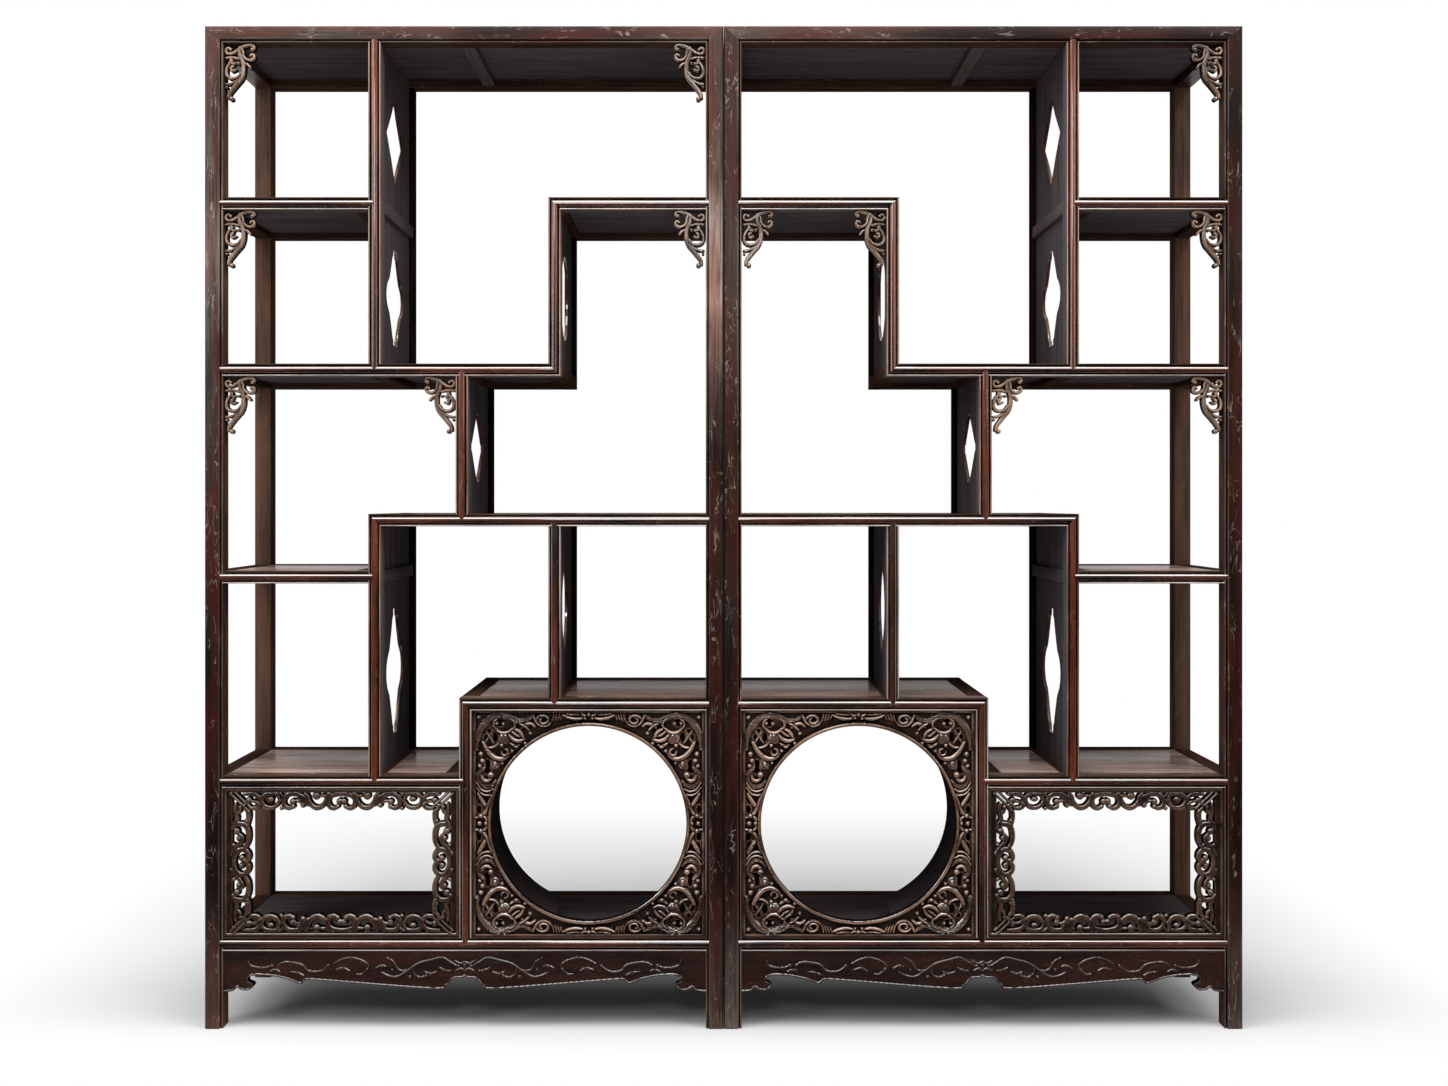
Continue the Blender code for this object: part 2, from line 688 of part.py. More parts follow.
# Corners that can hold a bracket: (face that it stands against, +1 if the bay lies outwards of it, height)
shelf_bays = {
    "top_outer": (outer_post_near, -1, top_underside),
    "top_inner": (inner_post_far, 1, top_underside),
    "upper_outer": (outer_post_near, -1, high_top - RAIL_FACE),
    "high_inner": (inner_post_far, 1, high_top - RAIL_FACE),
    "high_outer": (inner_partition, -1, high_top - RAIL_FACE),
    "long_outer": (outer_post_near, -1, upper_long_top - RAIL_FACE),
    "long_inner": (middle_partition + RAIL_FACE, 1, upper_long_top - RAIL_FACE),
}
BRACKET_PLACES = {
    "left": ("top_outer", "top_inner", "upper_outer", "high_inner", "long_outer", "long_inner"),
    "right": ("top_outer", "upper_outer", "high_inner", "high_outer", "long_outer", "long_inner"),
}

PANELS = ("top_panel", "top_brace")
CARVED = ("fretwork_frame", "window_panel", "apron")


def wood(name, colour):
    material = bpy.data.materials.new(name)
    material.use_nodes = True
    shader = material.node_tree.nodes["Principled BSDF"]
    shader.inputs["Base Color"].default_value = (*colour, 1)
    shader.inputs["Roughness"].default_value = ROUGHNESS
    shader.inputs["Metallic"].default_value = 0
    return material


def mirror_across(mesh, sign):
    """The mesh on its own side of the pair: sign is -1 for the left, which is the mirror image."""
    if sign < 0:
        mesh.transform(Matrix.Scale(-1, 4, (1, 0, 0)))
        mesh.flip_normals()


def place(name, mesh, colour):
    mesh.name = name
    mesh.materials.clear()
    mesh.materials.append(wood(name, colour))
    piece = bpy.data.objects.new(name, mesh)
    bpy.context.scene.collection.objects.link(piece)


def place_brackets(side, sign, design):
    middle_y = front + BRACKET_SETBACK + BRACKET_THICKNESS / 2
    for bay in BRACKET_PLACES[side]:
        face, outward, height = shelf_bays[bay]
        mesh = design.copy()
        mirror_across(mesh, outward)
        mesh.transform(Matrix.Translation((face, middle_y, height)))
        mirror_across(mesh, sign)
        place(f"{side}_{bay}_bracket", mesh, CARVING_COLOUR)


def main():
    for leftover in list(bpy.data.objects):
        bpy.data.objects.remove(leftover)
    pieces = frame_pieces()
    pieces = {name: combine(mesh, "DIFFERENCE", mortises[name]) for name, mesh in pieces.items()}
    design = bracket()
    for side, sign in (("left", -1), ("right", 1)):
        for name, mesh in pieces.items():
            colour = PANEL_COLOUR if name in PANELS else CARVING_COLOUR if name in CARVED else FRAME_COLOUR
            copy = mesh.copy()
            mirror_across(copy, sign)
            place(f"{side}_{name}", copy, colour)
        place_brackets(side, sign, design)


main()
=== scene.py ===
"""Looks of a pair of open display cabinets in dark lacquered hardwood.

Every piece of the right-hand cabinet is built as closed shells in metres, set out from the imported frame, and
mirrored for the left-hand cabinet. Moulded rails and stiles are swept sections with mitred ends. Carved
pieces are reliefs: strokes drawn on a grid of levels, with the wood cut away where no stroke stands.
"""

import json
import math

import bmesh
import bpy
import numpy as np
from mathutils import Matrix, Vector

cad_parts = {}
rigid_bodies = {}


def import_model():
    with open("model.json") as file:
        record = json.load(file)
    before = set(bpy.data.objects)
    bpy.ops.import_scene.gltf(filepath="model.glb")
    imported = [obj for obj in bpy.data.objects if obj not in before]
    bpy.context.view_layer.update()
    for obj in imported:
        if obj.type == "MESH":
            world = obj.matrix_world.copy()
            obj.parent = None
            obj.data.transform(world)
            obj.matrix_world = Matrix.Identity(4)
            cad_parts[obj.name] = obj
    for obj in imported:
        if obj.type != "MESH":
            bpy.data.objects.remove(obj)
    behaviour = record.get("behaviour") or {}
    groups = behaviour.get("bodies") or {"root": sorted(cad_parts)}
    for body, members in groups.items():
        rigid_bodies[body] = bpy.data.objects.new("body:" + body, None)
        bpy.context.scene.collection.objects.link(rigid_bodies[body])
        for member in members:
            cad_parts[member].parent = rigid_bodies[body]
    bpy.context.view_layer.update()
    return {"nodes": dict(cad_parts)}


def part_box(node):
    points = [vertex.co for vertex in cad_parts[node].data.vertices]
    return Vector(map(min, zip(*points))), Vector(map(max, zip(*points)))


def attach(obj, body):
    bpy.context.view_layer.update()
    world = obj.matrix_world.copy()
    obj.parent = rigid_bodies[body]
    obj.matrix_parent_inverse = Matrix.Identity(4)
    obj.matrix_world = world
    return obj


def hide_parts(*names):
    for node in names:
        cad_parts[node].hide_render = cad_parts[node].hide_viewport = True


for leftover in list(bpy.data.objects):
    bpy.data.objects.remove(leftover)
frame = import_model()

MM = 0.001
ALONG_X, ALONG_Y, ALONG_Z = 0, 1, 2
FRAME_FINISH, PLAIN_FINISH, PANEL_FINISH, SHELF_FINISH, SHADOW_FINISH = range(5)
chance = np.random.default_rng(11)

# Moulding on the front of rails and stiles: a bead along each edge, then a groove, then a half-round.
# The bead has rows of (across, proud) in millimetres, with the wear and painted highlight, and the painted shade, of
# each row
BEAD_SECTION = [(0.0, 0.2), (0.2, 0.85), (0.75, 1.55), (1.3, 1.95), (1.9, 1.95), (2.45, 1.55), (3.0, 0.85),
                (3.2, 0.2), (3.35, -1.6), (4.4, -2.3), (5.6, -1.7)]
# The bead's crest carries a painted highlight line over some real wear
BEAD_WEAR_AND_HIGHLIGHT = [0.1, 0.4, 0.7, 1.0, 1.0, 0.7, 0.3, 0.0, 0.0, 0.0, 0.0]
# Painted shade along the groove between each bead and the half-round, whose strips also take the dark shadowed wood
BEAD_PAINTED_SHADE = [0.0, 0.0, 0.0, 0.0, 0.0, 0.0, 0.0, 0.4, 1.0, 1.0, 0.8]
BEAD_FINISH = [FRAME_FINISH] * 7 + [SHADOW_FINISH] * 3
# A rail's top bead, under the shelf's edge, takes the plain unlacquered wood in place of the lacquered one, and a
# share of painted shade: a shaded copy of the moulding
TOP_BEAD_FINISH = [SHADOW_FINISH] * 3 + [PLAIN_FINISH] * 7
TOP_BEAD_SHADE = 0.55
ROUND_PROUD = 4.5 * MM
# A painted highlight line along the far edge of the half-round, the top on a rail, over some real wear
ROUND_HIGHLIGHT_AND_WEAR = [0.3, 1.0, 0.5]
ROUND_STEPS = 7

# Posts and top rails: past the bead lies a flat face, with rows of (across, behind the front, wear) in
# millimetres, counted from the bead at its start and from the far edge at its end
FACE_START = [(0.3, 1.2, 0.15), (1.5, 0.0, 0.10), (3.5, 0.0, 0.0)]
FACE_END = [(2.8, 0.0, 0.0), (1.7, 0.4, 0.06), (0.0, 2.0, 0.0)]
# On posts the bead keeps this share of its wear and painted highlight
POST_BEAD_SHARE = 0.25
POST_BEAD_REACH = 6.0 * MM
POST_BACK_ROUNDING, POST_BACK_WEAR = 1.5 * MM, 0.2
TOP_EDGE_WEAR = 0.1
FOOT_ROUNDING = 1.0 * MM
FOOT_WEAR, ANKLE_WEAR = 0.2, 0.15
SHIN_HEIGHT = 40 * MM
STATION_GAP = 0.08

# Section of a side rail of the top frame, as shares of its width and height, with the wear of each corner
SIDE_SECTION = np.array([(0, 0), (1, 0), (1, 0.5), (1, 0.97), (0.97, 1), (0, 1)])
SIDE_WEAR = np.array([0, 0.2, 0, 0.5, 0.5, 0])

# Plain members and panels
RAIL_DEPTH = 34 * MM
SIDE_RAIL_WIDTH = 32 * MM
CROSS_RAIL_MARGIN = 3 * MM
MIDDLE_RAIL_INSET = 1 * MM
PLAIN_ROUNDING, FINE_ROUNDING, CRISP_ROUNDING = 1.6 * MM, 0.8 * MM, 0.5 * MM
EDGE_WEAR, SLIGHT_WEAR, BACK_STILE_WEAR = 0.45, 0.3, 0.8
FLAT_WEAR_SHARE = 0.25
PANEL_SINK = 1.2 * MM
PANEL_SEAM = 0.9 * MM
SHELF_PANEL_THICKNESS = 11 * MM
SHELF_FACE_THICKNESS, SHELF_CORE_SINK = 5 * MM, 4 * MM
# Shelf tops: wear that also paints sheen and light where they face the lamp above, far more on two lower shelves and
# less on the bottom shelf, in the shade
SHELF_WEAR_AND_SHEEN, TOP_PANEL_WEAR = 1.2, 0.1
SHELF_SCUFFS_AND_SHEEN = {"lower_outer_shelf": 3.0, "lower_long_shelf": 3.0, "bottom_shelf": 0.5}
PARTITION_PANEL_THICKNESS = 6 * MM
PANEL_GROOVE = 5 * MM
PANEL_REACH, LONG_REACH = 4 * MM, 12 * MM
CUT_EDGE_ROUNDING, CUT_EDGE_REACH = 1.2 * MM, 5 * MM
# Cut-out edges: the lower ones, facing up, are lightened by wear and painted light, and the upper ones, facing down,
# get painted shade
CUT_EDGE_WEAR, CUT_CORNER_WEAR, CUT_EDGE_SHADE = 0.9, 0.5, 0.6
LOWER_EDGE_START, LOWER_EDGE_FULL = -0.2, 0.7

# Carved pieces: all sizes in millimetres, with levels counted outwards from the carving's front plane
FRET_STEP, WINDOW_STEP, APRON_STEP, BRACKET_STEP = 1.08, 0.96, 0.85, 0.6
FAR = 9
GROOVE_WIDTH, RIB_DEPTH, SWELL = 0.28, 0.22, 0.6
FINE_SPREAD, BROAD_SPREAD = 2.2, 6.0
CREST_FINE, CREST_BROAD, CREST_START = 0.45, 0.16, 0.15
# Painted shade in the carving's hollows, from how far each place lies below its surroundings; the faces deepest in it
# take the dark shadowed wood, and the back of a carving is darkened a little
SHADE_FINE, SHADE_BROAD = 0.34, 0.24
DEEP_SHADE, BACK_DARKENING = 0.9, 0.3


# Places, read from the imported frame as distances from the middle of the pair

def span(node, axis):
    low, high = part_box("right_" + node)
    return low[axis], high[axis]


SHELVES = ("upper_outer_shelf", "high_shelf", "upper_long_shelf", "middle_shelf", "lower_outer_shelf",
           "window_top_shelf", "lower_long_shelf", "bottom_shelf")
PARTITIONS = ("tall_partition", "high_partition", "middle_partition", "lower_partition", "inner_partition",
              "window_partition")
inner_post = span("front_inner_post", ALONG_X)
outer_post = span("front_outer_post", ALONG_X)
near_wall, far_wall = inner_post[1], outer_post[0]
front, front_post_back = span("front_outer_post", ALONG_Y)
back_post_front, back = span("back_outer_post", ALONG_Y)
carving_front, carving_back = span("apron", ALONG_Y)
rail_front = front + ROUND_PROUD
front_rail_back = rail_front + RAIL_DEPTH
back_rail_front = back - RAIL_DEPTH
top_underside, total_height = span("top_frame", ALONG_Z)
level = {name: span(name, ALONG_Z) for name in SHELVES + ("top_frame",)}
under = {name: low for name, (low, high) in level.items()}
top_of = {name: high for name, (low, high) in level.items()}
upright = {name: span(name, ALONG_X) for name in PARTITIONS}
near_face = {name: near for name, (near, far) in upright.items()}
far_face = {name: far for name, (near, far) in upright.items()}


# Closed shells of one piece, with the direction of the grain, the wear with painted light, and the painted shade kept
# at every point

class Piece:
    def __init__(self):
        self.points, self.faces, self.finish = [], [], []
        self.grain, self.wear, self.painted_shade = [], [], []
        self.count = 0

    def shell(self, points, faces, along, wear=0.0, painted_shade=0.0, finish=FRAME_FINISH):
        points = np.asarray(points, float)
        order = [along, (along + 1) % 3, (along + 2) % 3]
        self.points.append(points)
        self.grain.append(points[:, order] + chance.uniform(0, 9, 3))
        self.wear.append(np.broadcast_to(wear, len(points)))
        self.painted_shade.append(np.broadcast_to(painted_shade, len(points)))
        self.faces += [tuple(int(index) + self.count for index in face) for face in faces]
        self.finish += np.broadcast_to(finish, len(faces)).tolist()
        self.count += len(points)


def ring_faces(rings, count, capped=True):
    """Faces between rings of points that match one to one, with flat caps or closed back on the first."""
    faces = []
    joins = rings - 1 if capped else rings
    for ring in range(joins):
        here, there = ring * count, (ring + 1) % rings * count
        for index in range(count):
            after = (index + 1) % count
            faces.append((here + index, here + after, there + after, there + index))
    if capped:
        faces += [tuple(reversed(range(count))), tuple(range((rings - 1) * count, rings * count))]
    return faces


def sweep(piece, rings, along, wear=0.0, painted_shade=0.0, strips=FRAME_FINISH, caps=FRAME_FINISH):
    """The closed bar through rings of points. The wear with painted light, and the painted shade, are each for one
    ring, or for all of them.
    """
    count = len(rings[0])
    finish = np.tile(np.broadcast_to(strips, count), len(rings) - 1).tolist() + [caps] * 2
    wear, painted_shade = (values if np.size(values) == len(rings) * count
                    else np.tile(np.broadcast_to(values, count), len(rings)) for values in (wear, painted_shade))
    piece.shell(np.concatenate(rings), ring_faces(len(rings), count), along, wear, painted_shade, finish)


# Moulded members

def moulding(width, top_shade):
    """The moulded face as (across, proud, wear and painted highlight, painted shade) rows from one edge of the face to
    the other.

    top_shade darkens the last bead, which lies under the edge of a shelf.
    """
    bead = [(t * MM, p * MM, wear, painted_shade)
            for (t, p), wear, painted_shade in zip(BEAD_SECTION, BEAD_WEAR_AND_HIGHLIGHT, BEAD_PAINTED_SHADE)]
    bead_width, groove_proud = bead[-1][:2]
    radius = width / 2 - bead_width
    rows = list(bead)
    for step in range(1, 2 * ROUND_STEPS):
        angle = math.pi * step / (2 * ROUND_STEPS)
        proud = groove_proud + (ROUND_PROUD - groove_proud) * math.sin(angle)
        from_far_edge = 2 * ROUND_STEPS - 1 - step
        wear = ROUND_HIGHLIGHT_AND_WEAR[from_far_edge] if from_far_edge < len(ROUND_HIGHLIGHT_AND_WEAR) else 0.0
        rows.append((width / 2 - radius * math.cos(angle), proud, wear, 0.0))
    rows += [(width - t, proud, wear * (1 - top_shade), max(painted_shade, top_shade))
             for t, proud, wear, painted_shade in reversed(bead)]
    return np.array(rows)


# How far a moulded member reaches past its end, from the place across its face and the width of the face

def onto_moulding(across, width):
    return np.minimum(across, width - across)


def onto_post(across, width):
    return np.minimum(onto_moulding(across, width), POST_BEAD_REACH)


def mitre_high(across, width):
    return across


def mitre_low(across, width):
    return width - across


MITRES = (mitre_high, mitre_low)


def moulded_bar(piece, along, edges, ends, styles):
    """A rail (along x) or a stile (along z) with the moulded face in front. edges lie across its face."""
    is_rail = along == ALONG_X
    across = ALONG_Z if is_rail else ALONG_X
    width = edges[1] - edges[0]
    face = moulding(width, TOP_BEAD_SHADE if is_rail else 0.0)
    place = np.concatenate([face[:, 0], [width, 0]])
    depth = np.concatenate([rail_front - face[:, 1], [front_rail_back] * 2])
    rings = []
    for end, style, outward in zip(ends, styles, (-1, 1)):
        reach = style(place, width)
        if style not in MITRES:
            reach[-2:] = 0
        ring = np.empty((len(place), 3))
        ring[:, along] = end + outward * reach
        ring[:, across] = edges[0] + place
        ring[:, ALONG_Y] = depth
        rings.append(ring)
    strips = BEAD_FINISH + [FRAME_FINISH] * (2 * ROUND_STEPS)
    strips += TOP_BEAD_FINISH if is_rail else BEAD_FINISH[::-1]
    # A rail's top takes the lighter shelf wood and its painted sheen
    strips += [SHELF_FINISH if is_rail else PLAIN_FINISH, PANEL_FINISH, PANEL_FINISH]
    wear, painted_shade = (np.concatenate([values, [0, 0]]) for values in (face[:, 2], face[:, 3]))
    sweep(piece, rings, along, wear, painted_shade, strips, PANEL_FINISH)


def plain_bar(piece, low, high, along, rounding=PLAIN_ROUNDING, wear=EDGE_WEAR, finish=PLAIN_FINISH):
    """A plain bar between two opposite corners, its long edges rounded and a little worn."""
    a, b = [axis for axis in range(3) if axis != along]
    section, worn_and_lit = [], []
    for corner, (side_a, side_b) in enumerate(((1, 1), (-1, 1), (-1, -1), (1, -1))):
        middle_a = (high[a] if side_a > 0 else low[a]) - side_a * rounding
        middle_b = (high[b] if side_b > 0 else low[b]) - side_b * rounding
        for step in range(3):
            angle = math.pi / 2 * (corner + step / 2)
            section.append((middle_a + rounding * math.cos(angle), middle_b + rounding * math.sin(angle)))
            worn_and_lit.append(wear if step == 1 else FLAT_WEAR_SHARE * wear)
    rings = []
    for end in (low[along], high[along]):
        ring = np.empty((len(section), 3))
        ring[:, (a, b)] = section
        ring[:, along] = end
        rings.append(ring)
    sweep(piece, rings, along, worn_and_lit, 0.0, finish, finish)


# Posts and top frame, joined by three-way mitres

def flat_face(width, seam=0.0):
    """The face of a post or top rail as (across, depth, wear and painted highlight, painted shade) rows from its bay
    side.

    seam paints shade on the far edge, in the gap where the two cabinets meet.
    """
    rows = [(t * MM, rail_front - p * MM, POST_BEAD_SHARE * wear, painted_shade)
            for (t, p), wear, painted_shade in zip(BEAD_SECTION, BEAD_WEAR_AND_HIGHLIGHT, BEAD_PAINTED_SHADE)]
    bead_width = rows[-1][0]
    rows += [(bead_width + t * MM, front + d * MM, wear, 0.0) for t, d, wear in FACE_START]
    rows += [(width - t * MM, front + d * MM, wear, painted_shade)
             for (t, d, wear), painted_shade in zip(FACE_END, (0.0, seam, seam))]
    return np.array(rows)


def flat_face_strips(face, plain):
    """The finish of each strip round a post or top rail, of which the last ones are plain."""
    return BEAD_FINISH + [FRAME_FINISH] * (len(face) - len(BEAD_FINISH) - 1) + [PLAIN_FINISH] * plain


def front_post(bay_side, far_side, seam=0.0):
    """A front post: bead on its bay side, and on top its share of the three-way mitre."""
    piece = Piece()
    outward = 1 if far_side > bay_side else -1
    width = abs(far_side - bay_side)
    face = flat_face(width, seam)
    corner, back_corner = POST_BACK_ROUNDING, front_post_back - POST_BACK_ROUNDING
    across = np.concatenate([face[:, 0], [width, width - corner, corner, 0]])
    depth = np.concatenate([face[:, 1], [back_corner, front_post_back, front_post_back, back_corner]])
    wear = np.concatenate([face[:, 2], [POST_BACK_WEAR] * 4])
    painted_shade = np.concatenate([face[:, 3], [0] * 4])
    foot = np.column_stack([bay_side + outward * across, depth, np.zeros(len(across))])
    top = foot.copy()
    share = np.minimum(across / width, (front_post_back - depth) / (front_post_back - front))
    top[:, 2] = top_underside + (total_height - top_underside) * share
    low, high = sorted((bay_side, far_side))
    tread = foot.copy()
    tread[:, 0] = np.clip(foot[:, 0], low + FOOT_ROUNDING, high - FOOT_ROUNDING)
    heights = [FOOT_ROUNDING, SHIN_HEIGHT, *np.arange(SHIN_HEIGHT + STATION_GAP, top_underside, STATION_GAP)]
    rings = [tread] + [foot + (0, 0, z) for z in heights] + [top]
    foot_wear = [np.maximum(wear, FOOT_WEAR), np.maximum(wear, ANKLE_WEAR)]
    worn_and_lit = np.concatenate(foot_wear + [wear] * (len(rings) - len(foot_wear)))
    sweep(piece, rings, ALONG_Z, worn_and_lit, painted_shade, flat_face_strips(face, 5), PLAIN_FINISH)
    return piece


def back_post(bay_side, far_side):
    piece = Piece()
    low, high = sorted((bay_side, far_side))
    plain_bar(piece, (low, back_post_front, 0), (high, back, top_underside), ALONG_Z, finish=FRAME_FINISH)
    return piece


def top_frame():
    piece = Piece()
    post_width = outer_post[1] - outer_post[0]
    post_depth = front_post_back - front
    height = total_height - top_underside
    face = flat_face(height)
    across = np.concatenate([face[:, 0], [height, 0]])
    depth = np.concatenate([face[:, 1], [front_post_back] * 2])
    wear = np.concatenate([face[:, 2], [TOP_EDGE_WEAR, 0]])
    painted_shade = np.concatenate([face[:, 3], [0, 0]])
    share = np.minimum(across / height, (front_post_back - depth) / post_depth)
    inner_end = np.column_stack([near_wall - post_width * share, depth, top_underside + across])
    outer_end = np.column_stack([far_wall + post_width * share, depth, top_underside + across])
    stations = np.linspace(0, 1, 1 + round((far_wall - near_wall) / STATION_GAP))
    rings = [inner_end + (outer_end - inner_end) * station for station in stations]
    sweep(piece, rings, ALONG_X, wear, painted_shade, flat_face_strips(face, 3), PLAIN_FINISH)
    plain_bar(piece, (near_wall - post_width, back_post_front, top_underside),
              (far_wall + post_width, back, total_height), ALONG_X)
    for bay_side, outward in ((near_wall, -1), (far_wall, 1)):
        x = bay_side + outward * SIDE_SECTION[:, 0] * post_width
        z = top_underside + SIDE_SECTION[:, 1] * height
        front_end = np.column_stack([x, front_post_back - post_depth * SIDE_SECTION.min(axis=1), z])
        back_end = np.column_stack([x, np.full(len(x), back_post_front), z])
        sweep(piece, [front_end, back_end], ALONG_Y, SIDE_WEAR)
    return piece


def top_panel():
    piece = Piece()
    low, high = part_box("right_top_panel")
    plain_bar(piece, low, high, ALONG_X, CRISP_ROUNDING, TOP_PANEL_WEAR, PANEL_FINISH)
    return piece


def top_brace():
    piece = Piece()
    low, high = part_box("right_top_brace")
    plain_bar(piece, (low.x, front_post_back, low.z), (high.x, back_post_front, high.z), ALONG_Y,
              wear=SLIGHT_WEAR, finish=PANEL_FINISH)
    return piece


# Shelves: a moulded front rail, a back rail, side and cross rails, and sunk panels between them

def shelf(name, start, start_style, stop, stop_style, standing=()):
    """standing holds the partitions that stand on the shelf or hang from it, each over a cross rail."""
    piece = Piece()
    low, high = level[name]
    moulded_bar(piece, ALONG_X, (low, high), (start, stop), (start_style, stop_style))
    width = high - low
    back_start = start - (width if start_style in MITRES else 0)
    back_stop = stop + (width if stop_style in MITRES else 0)
    plain_bar(piece, (back_start, back_rail_front, low), (back_stop, back, high), ALONG_X)
    crossings = []
    for end, style, outward in ((back_start, start_style, -1), (back_stop, stop_style, 1)):
        at_post = style is onto_post
        rail_x = end + (outward if at_post else -outward) * SIDE_RAIL_WIDTH
        depths = (front_post_back, back_post_front) if at_post else (front_rail_back, back_rail_front)
        crossings.append((min(end, rail_x), max(end, rail_x), *depths))
    for partition_name in standing:
        near, far = upright[partition_name]
        crossings.append((near - CROSS_RAIL_MARGIN, far + CROSS_RAIL_MARGIN,
                          front_rail_back, back_rail_front))
    crossings.sort()
    for near, far, y_low, y_high in crossings:
        plain_bar(piece, (near, y_low, low), (far, y_high, high), ALONG_Y, FINE_ROUNDING, SLIGHT_WEAR)
    top = high - PANEL_SINK
    # The bottom shelf, in the shade of the shelves above, takes the darker panel wood: painted shade
    finish = PANEL_FINISH if name == "bottom_shelf" else SHELF_FINISH
    for before, after in zip(crossings[:-1], crossings[1:]):
        near, far = before[1], after[0]
        plain_bar(piece, (near + PANEL_SEAM, front_rail_back + PANEL_SEAM, top - SHELF_FACE_THICKNESS),
                  (far - PANEL_SEAM, back_rail_front - PANEL_SEAM, top), ALONG_X, FINE_ROUNDING,
                  SHELF_SCUFFS_AND_SHEEN.get(name, SHELF_WEAR_AND_SHEEN), finish)
        plain_bar(piece, (near - PANEL_SEAM, front_rail_back - PANEL_SEAM, top - SHELF_PANEL_THICKNESS),
                  (far + PANEL_SEAM, back_rail_front + PANEL_SEAM, top - SHELF_CORE_SINK), ALONG_X,
                  CRISP_ROUNDING, 0.0, PANEL_FINISH)
    return piece


# Cut-outs of the partition panels, as outlines round their own middle that reach 1 each way

def smooth_path(points, per_span=8):
    """A smooth curve through the points."""
    points = np.asarray(points, float)
    padded = np.concatenate([2 * points[:1] - points[1:2], points, 2 * points[-1:] - points[-2:-1]])
    share = np.linspace(0, 1, per_span, endpoint=False)[:, None]
    curve = []
    for p, q, r, s in zip(padded[:-3], padded[1:-2], padded[2:-1], padded[3:]):
        curve.append(0.5 * (2 * q + (r - p) * share + (2 * p - 5 * q + 4 * r - s) * share ** 2
                            + (3 * q - p - 3 * r + s) * share ** 3))
    return np.concatenate(curve + [points[-1:]])


def straight_path(points, per_span=12):
    """The closed polygon through the points, with more points along each side."""
    points = np.asarray(points, float)
    share = np.linspace(0, 1, per_span, endpoint=False)[:, None]
    return np.concatenate([p + (q - p) * share for p, q in zip(points, np.roll(points, -1, axis=0))])


def mirrored_quarter(quarter):
    """A closed outline from its quarter with both coordinates positive."""
    points = []
    for turn, (sign_y, sign_z) in enumerate(((1, 1), (-1, 1), (-1, -1), (1, -1))):
        run = quarter if turn % 2 == 0 else quarter[::-1]
        points += [(sign_y * y, sign_z * z) for y, z in run]
    return [point for index, point in enumerate(points) if point != points[index - 1]]


SHARES = [step / 10 for step in range(11)]
OUTLINES = {
    "diamond": straight_path(mirrored_quarter([(1, 0), (0.48, 0.47), (0, 1)])),
    "lozenge": straight_path(mirrored_quarter([(1, 0.10), (0.90, 0.14), (0.20, 0.9), (0.16, 1)])),
    "oval": np.array(mirrored_quarter([(math.cos(s * math.pi / 2), math.sin(s * math.pi / 2))
                                       for s in SHARES])),
    "pointed oval": np.array(mirrored_quarter([(1 - s ** 2, s) for s in SHARES])),
    "cartouche": straight_path(mirrored_quarter([
        (1, 0.03), (0.97, 0.12), (0.89, 0.22), (0.76, 0.30), (0.66, 0.35), (0.60, 0.42), (0.54, 0.50),
        (0.45, 0.62), (0.37, 0.74), (0.31, 0.84), (0.22, 0.885), (0.22, 1.0)]), per_span=4),
}


def panel(floor, ceiling, outline=None, size=(0, 0), reach=PANEL_REACH):
    """A panel let into the shelves below and above it: its span, its open height's middle, its cut-out."""
    bottom, top = top_of[floor], under[ceiling]
    hole = None if outline is None else OUTLINES[outline] * np.array(size) / 2
    return (bottom - PANEL_REACH, top + reach), (bottom + top) / 2, hole


def pierced_panel(piece, x_middle, y_span, z_span, hole_height, hole):
    """A panel with one cut-out whose edges are worn round: the lower edges, facing up, are lightened by wear and
    painted light, and the upper ones get painted shade.
    """
    half = PARTITION_PANEL_THICKNESS / 2
    edge = CUT_EDGE_ROUNDING
    middle = np.array([sum(y_span) / 2, hole_height])
    direction = hole / np.linalg.norm(hole, axis=1)[:, None]
    half_depth = (y_span[1] - y_span[0]) / 2
    half_height = np.where(direction[:, 1] > 0, z_span[1] - hole_height, hole_height - z_span[0])
    room = np.column_stack([np.full(len(hole), half_depth), half_height])
    rim = direction * np.min(room / np.maximum(np.abs(direction), 1e-9), axis=1)[:, None]
    lower = np.interp(-hole[:, 1] / hole[:, 1].max(), (LOWER_EDGE_START, LOWER_EDGE_FULL), (0.0, 1.0))
    one_side = [(rim, -half, 0.0), (hole + direction * CUT_EDGE_REACH, -half, 0.0),
                (hole + direction * edge, -half, CUT_CORNER_WEAR), (hole, edge - half, CUT_EDGE_WEAR)]
    sections = one_side + [(ring, -x, worn_and_lit) for ring, x, worn_and_lit in reversed(one_side)]
    points = np.concatenate([
        np.column_stack([np.full(len(ring), x_middle + x), middle + ring]) for ring, x, _ in sections])
    wear = np.concatenate([worn_and_lit * lower for _, _, worn_and_lit in sections])
    painted_shade = np.concatenate([CUT_EDGE_SHADE * worn_and_lit * (1 - lower) for _, _, worn_and_lit in sections])
    strips = [PANEL_FINISH] * 2 + [FRAME_FINISH] * 3 + [PANEL_FINISH] * 3
    faces = ring_faces(len(sections), len(hole), capped=False)
    piece.shell(points, faces, ALONG_Z, wear, painted_shade, np.repeat(strips, len(hole)))


